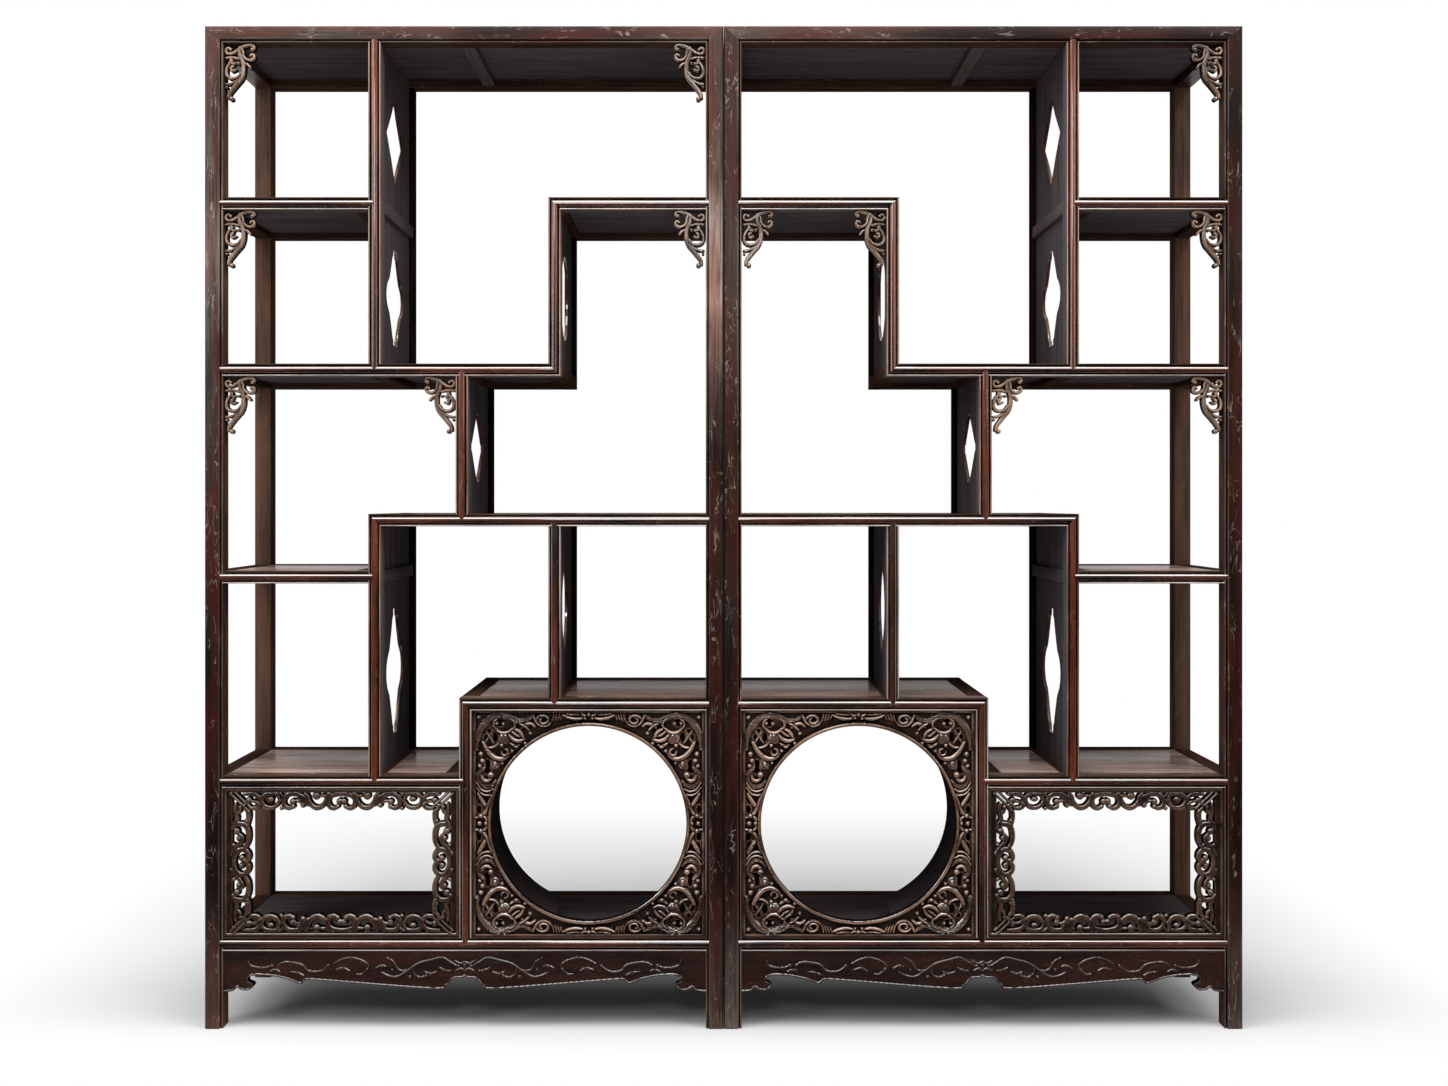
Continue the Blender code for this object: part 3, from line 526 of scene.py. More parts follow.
def partition(name, floor, floor_style, ceiling, ceiling_style, panels, rail=None):
    """Two stiles between two shelves, their panels, and a middle rail level with the shelf it names."""
    piece = Piece()
    near, far = upright[name]
    bottom, top = top_of[floor], under[ceiling]
    moulded_bar(piece, ALONG_Z, (near, far), (bottom, top), (floor_style, ceiling_style))
    back_bottom = bottom - (far - near if floor_style in MITRES else 0)
    back_top = top + (far - near if ceiling_style in MITRES else 0)
    plain_bar(piece, (near, back_rail_front, back_bottom), (far, back, back_top), ALONG_Z,
              wear=BACK_STILE_WEAR, finish=SHADOW_FINISH)
    if rail:
        low, high = level[rail]
        plain_bar(piece, (near + MIDDLE_RAIL_INSET, front_rail_back, low),
                  (far - MIDDLE_RAIL_INSET, back_rail_front, high), ALONG_Y, wear=SLIGHT_WEAR,
                  finish=PANEL_FINISH)
    y_span = (front_rail_back - PANEL_GROOVE, back_rail_front + PANEL_GROOVE)
    middle = (near + far) / 2
    half = PARTITION_PANEL_THICKNESS / 2
    for z_span, hole_height, hole in panels:
        if hole is None:
            plain_bar(piece, (middle - half, y_span[0], z_span[0]),
                      (middle + half, y_span[1], z_span[1]), ALONG_Z,
                      CRISP_ROUNDING, 0.0, PANEL_FINISH)
        else:
            pierced_panel(piece, middle, y_span, z_span, hole_height, hole)
    return piece


# Reliefs: a grid of levels, and how far each place is inside the wood

def blurred(field, radius):
    """The field, averaged three times over a square window."""
    for _ in range(3):
        for axis in (0, 1):
            pad = [(0, 0), (0, 0)]
            pad[axis] = (radius + 1, radius)
            total = np.cumsum(np.pad(field, pad, mode="edge"), axis=axis)
            size = field.shape[axis]
            ahead = np.take(total, range(2 * radius + 1, 2 * radius + 1 + size), axis=axis)
            behind = np.take(total, range(size), axis=axis)
            field = (ahead - behind) / (2 * radius + 1)
    return field


class Relief:
    """u runs across and v runs down, both in millimetres from the relief's upper corner."""

    def __init__(self, width, height, step, ground, solid):
        self.step = step
        self.columns = np.linspace(0, width, round(width / step) + 1)
        self.rows = np.linspace(0, height, round(height / step) + 1)
        self.u, self.v = np.meshgrid(self.columns, self.rows)
        self.level = np.full(self.u.shape, float(ground))
        self.solid = np.full(self.u.shape, float(solid))

    def window(self, low, high):
        columns = slice(*np.searchsorted(self.columns, (low[0], high[0])))
        rows = slice(*np.searchsorted(self.rows, (low[1], high[1])))
        return rows, columns

    def near_path(self, path, reach):
        """The distance to a path, and how far along it (0 to 1) the nearest place lies."""
        distance = np.full(self.u.shape, np.inf)
        share = np.zeros(self.u.shape)
        spans = len(path) - 1
        for index in range(spans):
            start, run = path[index], path[index + 1] - path[index]
            low, high = np.minimum(start, start + run), np.maximum(start, start + run)
            here = self.window(low - reach, high + reach)
            du, dv = self.u[here] - start[0], self.v[here] - start[1]
            along = np.clip((du * run[0] + dv * run[1]) / max(run @ run, 1e-9), 0, 1)
            gap = np.hypot(du - along * run[0], dv - along * run[1])
            closer = gap < distance[here]
            distance[here][closer] = gap[closer]
            share[here][closer] = (index + along[closer]) / spans
        return distance, share

    def in_radii(self, centre, radius):
        """The distance from a centre in radii. radius may be a pair, across and down."""
        across, down = np.broadcast_to(radius, 2)
        return np.hypot((self.u - centre[0]) / across, (self.v - centre[1]) / down)

    def raise_to(self, level, inside, around, sink):
        """Raises the wood inside a form, once the ground around it is down at the sink, if it has one."""
        if sink is not None:
            self.level[around] = np.minimum(self.level[around], sink)
        self.level = np.where(inside, np.maximum(self.level, level), self.level)

    def stroke(self, points, half_width, rise, base, ends=(1.0, 1.0), groove=0.0, ribs=0.0,
               gap=0.0, sink=None):
        """A rounded strand along a smooth path, thinner at its ends, with a groove or ribs along it."""
        path = smooth_path(points) if len(points) > 2 else np.asarray(points, float)
        distance, share = self.near_path(path, half_width + gap + self.step)
        swell = np.sin(np.pi * np.clip(share, 0, 1)) ** SWELL
        thin = ends[0] + (ends[1] - ends[0]) * share
        width = half_width * (thin + (1 - thin) * swell)
        ratio = np.minimum(distance / width, 1)
        crown = np.sqrt(1 - ratio ** 2) * (1 - groove * np.exp(-(ratio / GROOVE_WIDTH) ** 2))
        if ribs:
            crown *= 1 - RIB_DEPTH + RIB_DEPTH * np.cos(2 * math.pi * ribs * ratio)
        self.raise_to(base + rise * crown, distance < width, distance < width + gap, sink)
        self.solid = np.maximum(self.solid, np.where(np.isfinite(distance), width - distance, -FAR))

    def ball(self, centre, radius, rise, base, gap=0.0, sink=None):
        """A rounded knob. radius may be a pair, across and down."""
        ratio = self.in_radii(centre, radius)
        mean = np.mean(radius)
        crown = np.sqrt(np.clip(1 - ratio ** 2, 0, 1))
        self.raise_to(base + rise * crown, ratio < 1, ratio < 1 + gap / mean, sink)
        self.solid = np.maximum(self.solid, (1 - ratio) * mean)

    def pit(self, centre, radius, depth):
        """A hole cut deep into the ground. radius may be a pair, across and down."""
        inside = self.in_radii(centre, radius) < 1
        self.level = np.where(inside, np.minimum(self.level, depth), self.level)

    def mirrored(self, down):
        """The relief with its mirror image added across, and down as well where that is asked for."""
        for name in ("level", "solid"):
            field = getattr(self, name)
            field = np.concatenate([field, field[:, -2::-1]], axis=1)
            if down:
                field = np.concatenate([field, field[-2::-1]], axis=0)
            setattr(self, name, field)
        self.columns = np.concatenate([self.columns, 2 * self.columns[-1] - self.columns[-2::-1]])
        if down:
            self.rows = np.concatenate([self.rows, 2 * self.rows[-1] - self.rows[-2::-1]])
        self.u, self.v = np.meshgrid(self.columns, self.rows)
        return self

    def surface(self):
        """Points (u, v, level, crest wear, painted shade in the hollows) and faces of the carved face, cut along the
        edge of the wood.
        """
        fine, broad = (self.level - blurred(self.level, round(spread / self.step))
                       for spread in (FINE_SPREAD, BROAD_SPREAD))
        crest = np.clip(CREST_FINE * fine + CREST_BROAD * broad - CREST_START, 0, 1)
        painted_shade = np.clip(-SHADE_FINE * fine - SHADE_BROAD * broad, 0, 1)
        fields = np.stack([self.u, self.v, self.level, crest, painted_shade], axis=-1).reshape(-1, 5)
        solid = self.solid.reshape(-1)
        inside = solid > 0
        node = np.arange(solid.size).reshape(self.solid.shape)
        corners = np.stack([node[:-1, :-1], node[:-1, 1:], node[1:, 1:], node[1:, :-1]], axis=-1)
        corners = corners.reshape(-1, 4)
        filled = inside[corners].sum(axis=1)
        faces = corners[filled == 4].tolist()
        cut_points, cut_index = [], {}

        def cut(kept, lost):
            key = (kept, lost)
            if key not in cut_index:
                share = solid[kept] / (solid[kept] - solid[lost])
                cut_index[key] = len(fields) + len(cut_points)
                cut_points.append(fields[kept] + (fields[lost] - fields[kept]) * share)
            return cut_index[key]

        for cell in corners[(filled > 0) & (filled < 4)].tolist():
            face = []
            for here, after in zip(cell, cell[1:] + cell[:1]):
                if inside[here]:
                    face.append(here)
                if inside[here] != inside[after]:
                    face.append(cut(here, after) if inside[here] else cut(after, here))
            faces.append(face)
        points = np.concatenate([fields, np.array(cut_points).reshape(-1, 5)])
        used = np.unique(np.concatenate([np.asarray(face) for face in faces]))
        renumber = np.full(len(points), -1)
        renumber[used] = np.arange(len(used))
        return points[used], [[int(renumber[index]) for index in face] for face in faces]


def boundary_edges(faces):
    edges = {(a, b) for face in faces for a, b in zip(face, face[1:] + face[:1])}
    return [(a, b) for a, b in edges if (b, a) not in edges]


def filled_outline(points, edges):
    """Triangles that fill a flat outline with holes."""
    builder = bmesh.new()
    corners = [builder.verts.new(point) for point in points]
    lines = [builder.edges.new((corners[a], corners[b])) for a, b in edges]
    builder.verts.index_update()
    bmesh.ops.triangle_fill(builder, use_beauty=False, edges=lines, normal=(0, 1, 0))
    faces = [[corner.index for corner in face.verts] for face in builder.faces]
    builder.free()
    return faces


def carved_shell(relief, corner, filled_back, along):
    """A carved piece, from its upper corner (x, z): relief in front, straight walls and a flat back.

    The back has the faces of the relief, or is filled anew within its outline, with far fewer faces.
    """
    piece = Piece()
    points, faces = relief.surface()
    count = len(points)
    x = corner[0] + points[:, 0] * MM
    z = corner[1] - points[:, 1] * MM
    edges = boundary_edges(faces)
    rim = sorted({index for edge in edges for index in edge}) if filled_back else range(count)
    behind = {index: count + place for place, index in enumerate(rim)}
    back_points = np.column_stack([x[rim], np.full(len(rim), carving_back), z[rim]])
    if filled_back:
        back_faces = filled_outline(back_points, [(behind[a] - count, behind[b] - count) for a, b in edges])
        back_faces = [[index + count for index in face] for face in back_faces]
    else:
        back_faces = [[behind[index] for index in reversed(face)] for face in faces]
    walls = [[b, a, behind[a], behind[b]] for a, b in edges]
    wear = np.concatenate([points[:, 3], np.zeros(len(rim))])
    painted_shade = np.concatenate([points[:, 4], np.full(len(rim), BACK_DARKENING)])
    # Faces deep in painted shade take the dark shadowed wood, and so do the walls round the openings
    finish = [SHADOW_FINISH if np.mean(points[face, 4]) > DEEP_SHADE else FRAME_FINISH for face in faces]
    finish += [SHADOW_FINISH] * len(walls) + [PANEL_FINISH] * len(back_faces)
    face_points = np.column_stack([x, carving_front - points[:, 2] * MM, z])
    piece.shell(np.concatenate([face_points, back_points]), faces + walls + back_faces, along, wear, painted_shade,
                finish)
    return piece


def carved_area(node):
    """The upper corner (x, z) of a carved node, and half its width and height in millimetres."""
    x_low, x_high = span(node, ALONG_X)
    z_low, z_high = span(node, ALONG_Z)
    return (x_low, z_high), (x_high - x_low) / 2 / MM, (z_high - z_low) / 2 / MM


def arc(centre, radius, start, stop, steps=14):
    """Points on an arc, with angles in degrees, 0 to the right and 90 downwards."""
    angles = np.radians(np.linspace(start, stop, steps))
    return [(centre[0] + radius * math.cos(a), centre[1] + radius * math.sin(a)) for a in angles]


def spiral(centre, radius, shrink, start, turn, steps=26):
    """Points on a spiral that shrinks to a share of its radius, with angles in degrees as for an arc."""
    across, down = radius
    curve = []
    for step in range(steps):
        share = step / (steps - 1)
        size = 1 + (shrink - 1) * share
        angle = math.radians(start + turn * share)
        curve.append((centre[0] + across * size * math.cos(angle), centre[1] + down * size * math.sin(angle)))
    return curve


# Corner brackets: openwork scrolls, u from the post and v down from the rail

BRACKET_SIZE = (62.0, 112.0)
BRACKET_GROUND, BRACKET_RISE = -7.5, 6.6
BRACKET_SPREAD = 1.0
BRACKET_STRAND_BASE, BRACKET_BALL_BASE = -6.9, -6.5
BRACKET_STRANDS = [
    (2.3, [(13, 11), (8.5, 8.4), (4.4, 10.5), (3.6, 15), (7, 19.2), (15.4, 18.9), (23.1, 15), (30.9, 9),
           (39.4, 4.6), (48, 2.6), (54.5, 3.0), (58.3, 6.6), (56.2, 10.6)]),
    (2.1, [(33, 8), (36.4, 15.9), (37, 23.6), (42, 29.6), (49.7, 31.8), (55.6, 29.6), (58, 24.8), (55.6, 21.0),
           (51.4, 22.3)]),
    (3.9, [(31, 8), (29.7, 17), (31.2, 25), (35.1, 33), (37.2, 41.6), (36.4, 55.3), (32.4, 67.3), (24.7, 76.7),
           (17.1, 86.1), (10.3, 95.6), (8.2, 103.5)]),
    (2.5, [(16, 33), (8.6, 41.4), (4.4, 51.0), (5.2, 60.4), (11.4, 66.0), (19.7, 66.6), (27, 63.4), (32, 56)]),
    (1.9, [(4, 27.6), (12, 26.6), (20, 27.2), (28, 29.5)]),
    (1.9, [(14, 28), (13, 34), (17, 39), (22, 37.6)]),
    (2.0, [(38, 38), (44, 39.5), (50, 45)]),
    (2.0, [(4.2, 78), (12, 77.5), (20, 74), (30, 68)]),
    (1.8, [(22, 50), (15.5, 52.5), (13.5, 46.5), (18, 43)]),
]
BRACKET_BALLS = [((54.0, 10.6), 3.6), ((14.0, 106.0), 4.6), ((27.4, 38.0), 3.0), ((15.8, 46.0), 2.6),
                 ((51.2, 23.4), 2.6), ((12.6, 12.0), 2.8), ((5.0, 84.0), 2.6), ((50.0, 45.6), 2.4)]


def bracket():
    relief = Relief(*BRACKET_SIZE, BRACKET_STEP, BRACKET_GROUND, solid=-FAR)
    for half_width, points in BRACKET_STRANDS:
        relief.stroke(points, half_width + BRACKET_SPREAD, BRACKET_RISE, BRACKET_STRAND_BASE, ends=(0.8, 0.7),
                      groove=0.12)
    for centre, radius in BRACKET_BALLS:
        relief.ball(centre, radius, BRACKET_RISE, BRACKET_BALL_BASE)
    return carved_shell(relief, (0, 0), False, ALONG_Z)


# Rectangular carved frame: a scrolling vine in each band, s from the band's middle and t from its outer edge

FRET_TOP_BORDER, FRET_SIDE_BORDER = 9.5, 16.5
FRET_TOP_BAND, FRET_SIDE_BAND = 34.0, 35.0
FRET_GROUND, FRET_BORDER_LEVEL = -5.5, -3.2
FRET_RIDGE_RISE, FRET_RIDGE_HALF_WIDTH = 2.6, 3.2
FRET_LINE_RISE, FRET_LINE_HALF_WIDTH = 1.2, 0.8
FRET_BASE, FRET_STRAND_RISE, FRET_BALL_RISE = -6.4, 6.0, 6.4
FRET_SPREAD, FRET_BALL_SPREAD = 1.2, 0.9
FRET_MITRE_BASE, FRET_MITRE_RISE = -5.4, 4.8
FRET_MITRE_SHIFT, FRET_MITRE_HALF_WIDTH, FRET_MITRE_OVERLAP = 2.7, 3.0, 1.0
FRET_TOP_STRANDS = [
    (4.4, [(0, 2.5), (9, 3.0), (19, 5.5), (25.5, 12), (26, 20), (22.5, 27), (15, 30), (8, 27.5)]),
    (4.2, [(24, 2), (27.5, 6), (30.5, 16.5), (38, 26), (48.2, 29), (57, 25), (63, 16.5), (65.5, 7), (70, 2)]),
    (3.8, [(65, 23), (73.5, 14.5), (84, 8.5)]),
    (4.4, [(66, 12.5), (74, 7.5), (86, 3), (98.5, 2.2), (108, 7.5), (112.5, 18), (109, 26.5), (101, 29.5), (94, 27)]),
    (3.8, [(119.5, 15), (126, 25), (136, 29), (146.5, 27), (153, 20), (155, 12), (149, 4.5), (136, 2), (124, 5),
           (119.5, 15)]),
    (4.0, [(157, 12), (163.5, 5), (176, 2), (188, 3)]),
    (4.0, [(156, 10), (157.5, 22), (164, 29), (176, 30)]),
    (2.6, [(40, 6), (33, 5.5), (27, 7)]),
    (2.6, [(88, 15), (80, 17), (75, 23)]),
    (2.4, [(114, 6), (118, 2), (124, 1)]),
    (2.4, [(172, 16), (164, 18), (160, 22)]),
]
FRET_TOP_BALLS = [((3.5, 17), 6.2), ((49, 6), 7.0), ((94, 17.5), 5.8), ((74.5, 24), 4.6), ((179, 15), 6.0),
                  ((8, 26.5), 4.2), ((137, 12), (6.5, 4.6)), ((94, 26.5), 4.4), ((158, 22), 4.2), ((116, 30), 3.2),
                  ((187, 24), 3.4)]
FRET_SIDE_STRANDS = [
    (4.4, [(-5, 2), (8.7, 3.5), (18.5, 8), (24, 15), (22.7, 23.5), (16, 29.5), (7.3, 30.5), (1.7, 25.5), (3, 20)]),
    (4.6, [(27, 23.5), (39.5, 29.5), (53.4, 30.5), (64.6, 28), (72.3, 20.7), (73, 11), (70, 3.5), (64, 0)]),
    (3.8, [(15, -2), (27, 6), (36.7, 15), (46, 18.5), (53, 14)]),
    (4.4, [(73, 28.5), (85.5, 30.5), (96.7, 29.5), (103, 23.5)]),
    (3.8, [(73, 3.5), (82.8, 8.5), (92.5, 6.5), (103.7, 5), (112, 6)]),
    (2.8, [(92, 8), (98, 14), (106, 15)]),
]
FRET_SIDE_BALLS = [((7.3, 17.5), 5.8), ((59, 7.5), 6.2), ((45.5, 12.5), 5.4), ((79, 28), 4.6), ((106, 15), 4.2),
                   ((0, 27), 4.4), ((33, 2), 3.2), ((72, 28), 4.0)]


def fretwork_frame():
    upper_corner, half_width, half_height = carved_area("fretwork_frame")
    relief = Relief(half_width, half_height, FRET_STEP, FRET_GROUND, solid=-FAR)
    edge = np.minimum(relief.u, relief.v)
    border = np.maximum(FRET_TOP_BORDER - relief.v, FRET_SIDE_BORDER - relief.u)
    ridge = FRET_RIDGE_RISE * np.sqrt(np.clip(1 - (edge / FRET_RIDGE_HALF_WIDTH - 1) ** 2, 0, 1))
    inner_line = FRET_LINE_RISE * np.exp(-(border / FRET_LINE_HALF_WIDTH - 1) ** 2)
    relief.level = np.where(border > 0, FRET_BORDER_LEVEL + ridge + inner_line, relief.level)
    relief.solid = np.maximum(relief.solid, border)

    def top(points):
        return [(half_width - s, FRET_TOP_BORDER + t) for s, t in points]

    def side(points):
        return [(FRET_SIDE_BORDER + t, half_height - s) for s, t in points]

    for place, strands, balls in ((top, FRET_TOP_STRANDS, FRET_TOP_BALLS),
                                  (side, FRET_SIDE_STRANDS, FRET_SIDE_BALLS)):
        for thickness, points in strands:
            relief.stroke(place(points), thickness + FRET_SPREAD, FRET_STRAND_RISE, FRET_BASE, ends=(0.8, 0.6),
                          groove=0.16)
        for centre, radius in balls:
            relief.ball(place([centre])[0], np.add(radius, FRET_BALL_SPREAD), FRET_BALL_RISE, FRET_BASE)
    inner_corner = (FRET_SIDE_BORDER + FRET_SIDE_BAND, FRET_TOP_BORDER + FRET_TOP_BAND)
    outer_corner = (FRET_SIDE_BORDER - FRET_MITRE_OVERLAP, FRET_TOP_BORDER - FRET_MITRE_OVERLAP)
    for shift in (-FRET_MITRE_SHIFT, FRET_MITRE_SHIFT):
        ends = [(u + shift, v - shift) for u, v in (inner_corner, outer_corner)]
        relief.stroke(ends, FRET_MITRE_HALF_WIDTH, FRET_MITRE_RISE, FRET_MITRE_BASE)
    return carved_shell(relief.mirrored(down=True), upper_corner, False, ALONG_X)


# Round window: u from the side edge and v from the top edge, a corner cluster and the two strips beside it

WINDOW_MARGIN = 29.5
WINDOW_RIM_WIDTH, WINDOW_RIM_RISE, WINDOW_RIM_FOOT = 6.0, 0.9, -0.6
WINDOW_SIDE_BORDER, WINDOW_TOP_BORDER = 7.0, 4.2
WINDOW_BORDER_LEVEL, WINDOW_BORDER_RISE, WINDOW_BORDER_SLOPE = -2.6, 0.8, 2.0
WINDOW_GROUND, WINDOW_SINK, WINDOW_PIT = -6.2, -7.7, -14.5
WINDOW_GAP = 0.5
WINDOW_BUNDLE_RISE, WINDOW_BUNDLE_RIBS = 5.6, 2.0
LINING_SETBACK, LINING_THICKNESS, LINING_GROOVE, LINING_ROUNDING = 6.5 * MM, 5 * MM, 4 * MM, 1 * MM
LINING_HALF_SWEEP, LINING_STEPS = math.radians(70), 48
LINING_LOW_SHADE, LINING_SHADE = 0.8, 0.97
WINDOW_BUNDLES = [
    (6.6, [(9, 74), (10, 54), (16, 37), (26, 24), (39, 13), (57, 8.5), (72, 12.5), (86, 19.5), (98, 20.5), (109, 15.5),
           (117, 9)]),
    (6.0, [(22, 112), (13.5, 121), (12.5, 133), (18, 143), (28, 147), (38, 144), (45, 136)]),
]
WINDOW_STRANDS = [
    (2.6, 6.0, [(72, 14), (81, 21), (82.5, 30), (77, 37)]),
    (2.4, 5.6, [(46, 36), (41.5, 29), (43, 20.5), (50, 15.5)]),
    (2.1, 5.4, [(25, 63), (32, 51), (39.5, 38)]),
    (2.1, 5.4, [(27, 40), (35, 52), (42, 63)]),
    (2.8, 6.2, [(22, 66), (33, 71.5), (44, 69), (52, 62)]),
    (5.4, 8.2, [(22, 62), (29, 75), (39, 87), (52, 93), (64, 90.5), (73, 82)]),
    (4.6, 7.4, [(71, 47), (79, 55), (90, 58.5), (101, 55)]),
    (4.0, 7.0, [(84, 36), (93, 42), (99, 52)]),
    (3.0, 6.4, [(77, 40), (84, 46), (92, 50)]),
    (4.0, 7.2, [(96, 33), (104, 27), (113, 25), (122, 31)]),
    (3.2, 6.4, [(92, 25), (101, 30), (110, 38)]),
    (2.8, 6.0, arc((63, 80), 6.2, -90, 200)),
    (3.2, 6.4, [(74, 63), (82, 68), (92, 66.5)]),
    (4.2, 7.6, [(19, 126), (22, 133), (29, 135.5), (37, 131)]),
    (2.8, 6.2, [(9, 138), (18, 151.5), (30, 155.5), (41, 151)]),
    (2.6, 6.0, [(9, 148), (19, 160), (31, 163), (38, 160)]),
    (4.4, 7.0, [(12, 160), (17.5, 170), (24, 180), (31, 188)]),
    (4.0, 6.8, [(38, 164), (34, 175), (30, 187), (24, 198), (16, 204), (9, 206)]),
    (3.4, 6.4, [(20, 203), (27, 208), (29, 217)]),
    (2.9, 6.6, spiral((137, 18.5), (16.0, 12.6), 0.30, 20, 600)),
    (2.0, 5.6, [(157.5, 7), (156.5, 14), (153.5, 22)]),
    (2.0, 5.6, [(163, 7), (161.5, 14), (158.5, 21)]),
    (2.0, 5.6, [(168.5, 7), (167, 13), (164, 19)]),
    (2.0, 5.6, [(174, 7.5), (172.5, 12), (170, 17.5)]),
    (3.8, 6.8, [(176, 9), (188, 14), (201, 16), (214, 14.5)]),
    (2.4, 5.8, [(182, 6.4), (196, 8.0), (208, 8.0)]),
    (3.0, 6.4, [(211, 6.5), (217, 9.5), (225, 7.5)]),
    (3.2, 6.6, [(117, 9), (120, 15), (124, 23), (131, 29)]),
]
WINDOW_LIP = (4.0, 8.8, [(46.5, 35), (53, 41), (62, 43), (71, 40.5), (77.5, 34)])
WINDOW_BOSSES = [((63, 53), 12.5, 7.4), ((44.5, 102.5), (8.8, 11.4), 5.6)]
WINDOW_BALLS = [((47.5, 25), 3.4, 6.4), ((60, 25.5), 3.6, 6.6), ((44.5, 103), (5.2, 7.4), 7.4), ((57, 67), 4.2, 7.0),
                ((85, 70), (5.4, 3.6), 7.0), ((77, 78), 3.6, 6.6), ((102, 63), 3.6, 6.4), ((112, 44), 3.6, 6.4),
                ((17, 84), 5.0, 7.0), ((20, 97), 4.8, 7.0), ((15, 107), 4.0, 6.6), ((36, 124), 6.0, 8.0),
                ((17, 203), 4.8, 7.4), ((14.5, 217), 4.6, 7.0), ((27, 217), 4.2, 6.8), ((225, 8), 4.4, 6.8),
                ((218, 15), 3.2, 6.2), ((58, 101), 3.6, 6.4), ((13, 13), 4.0, 6.0)]
WINDOW_PITS = [((52, 24), (12.5, 7.0)), ((32, 41), (5, 5.5)), ((44.5, 52), (5, 9)), ((26, 52), (4, 5)),
               ((28, 116), (8, 6)), ((15, 173), (4.5, 8)), ((36, 176), (4, 8)), ((13, 191), (4.5, 8)),
               ((35, 205), (4.5, 10)), ((30, 104), (4.5, 9)), ((137, 18.5), (8, 6))]


def window_relief(half_width, half_height):
    relief = Relief(half_width, half_height, WINDOW_STEP, WINDOW_GROUND, solid=FAR)
    for centre, radii in WINDOW_PITS:
        relief.pit(centre, radii, WINDOW_PIT)
    for thickness, points in WINDOW_BUNDLES:
        relief.stroke(points, thickness, WINDOW_BUNDLE_RISE, WINDOW_GROUND, ends=(0.6, 0.4),
                      ribs=WINDOW_BUNDLE_RIBS)
    for centre, radius, rise in WINDOW_BOSSES:
        relief.ball(centre, radius, rise, WINDOW_GROUND)
    for thickness, rise, points in WINDOW_STRANDS:
        relief.stroke(points, thickness, rise, WINDOW_GROUND, ends=(0.6, 0.45), gap=WINDOW_GAP,
                      sink=WINDOW_SINK)
    for centre, radius, rise in WINDOW_BALLS:
        relief.ball(centre, radius, rise, WINDOW_GROUND, WINDOW_GAP, WINDOW_SINK)
    thickness, rise, points = WINDOW_LIP
    relief.stroke(points, thickness, rise, WINDOW_GROUND, ends=(0.3, 0.3))
    border = np.maximum(WINDOW_SIDE_BORDER - relief.u, WINDOW_TOP_BORDER - relief.v)
    border_level = WINDOW_BORDER_LEVEL + WINDOW_BORDER_RISE * np.clip(border / WINDOW_BORDER_SLOPE, 0, 1)
    relief.level = np.where(border > 0, border_level, relief.level)
    radius = min(half_width, half_height) - WINDOW_MARGIN
    distance = np.hypot(relief.u - half_width, relief.v - half_height) - radius
    across = np.clip(distance / WINDOW_RIM_WIDTH, 0, 1)
    crown = np.sqrt(np.clip(1 - (2 * across - 1) ** 2, 0, 1))
    rim_level = WINDOW_RIM_FOOT + (WINDOW_RIM_RISE - WINDOW_RIM_FOOT) * crown
    relief.level = np.where(distance < WINDOW_RIM_WIDTH, rim_level, relief.level)
    relief.solid = distance
    return relief.mirrored(down=True)


def window_panel():
    """The carved panel, and behind its outer side the bent lining of the round window."""
    upper_corner, half_width, half_height = carved_area("window_panel")
    piece = carved_shell(window_relief(half_width, half_height), upper_corner, True, ALONG_X)
    middle_x, middle_z = upper_corner[0] + half_width * MM, upper_corner[1] - half_height * MM
    inside = (min(half_width, half_height) - WINDOW_MARGIN) * MM + LINING_SETBACK
    outside = inside + LINING_THICKNESS
    lining_front, lining_back = carving_back - LINING_GROOVE, span("window_panel", ALONG_Y)[1]
    section = [(inside, lining_front), (inside, lining_back - LINING_ROUNDING),
               (inside + LINING_ROUNDING, lining_back), (outside, lining_back), (outside, lining_front)]
    angles = np.linspace(-LINING_HALF_SWEEP, LINING_HALF_SWEEP, LINING_STEPS)
    rings = [[(middle_x + radius * math.cos(angle), depth, middle_z + radius * math.sin(angle))
              for radius, depth in section] for angle in angles]
    shade = np.interp(angles, (-LINING_HALF_SWEEP, -LINING_HALF_SWEEP / 2), (LINING_LOW_SHADE, LINING_SHADE))
    sweep(piece, rings, ALONG_X, 0.0, np.repeat(shade, len(section)), PANEL_FINISH, PANEL_FINISH)
    return piece


# Apron: u from the post and v down from the shelf, a shaped lower edge and a low vine

APRON_CLEARANCE = 0.3
APRON_LIP_RISE, APRON_LIP_HALF_WIDTH = 1.3, 1.5
APRON_GROOVE_DEPTH, APRON_GROOVE_INSET, APRON_GROOVE_WIDTH = 0.5, 4.2, 1.0
APRON_TOP_GROOVE_DEPTH, APRON_TOP_GROOVE_INSET, APRON_TOP_GROOVE_WIDTH = 0.7, 1.0, 1.2
APRON_GAP = 0.6
APRON_VINE_HALF_WIDTH, APRON_VINE_RISE, APRON_VINE_SINK = 1.5, 1.3, -0.4
APRON_BALL_RISE, APRON_BALL_SINK, APRON_BALL_TRIM = 1.7, -0.5, 0.3
APRON_EDGE_STEPS, APRON_EDGE_REACH = 5, 30
APRON_EDGE_END = [(0, 78.7), (4, 78.7), (19, 76.8), (25.5, 70.1), (33.5, 74.9), (46, 76.0), (55, 71), (58, 65.5),
                  (54, 61.5), (48.5, 59.5), (46.5, 55.0), (50, 50.0), (58, 47.4), (68, 46.8), (94.9, 48.8),
                  (124.6, 55.3), (147.9, 63.4), (157.9, 57), (184.2, 57)]
APRON_EDGE_MIDDLE = [(64.9, 73.5), (35.1, 66.8), (22.1, 53.8), (5.4, 51.8), (0, 49.2)]
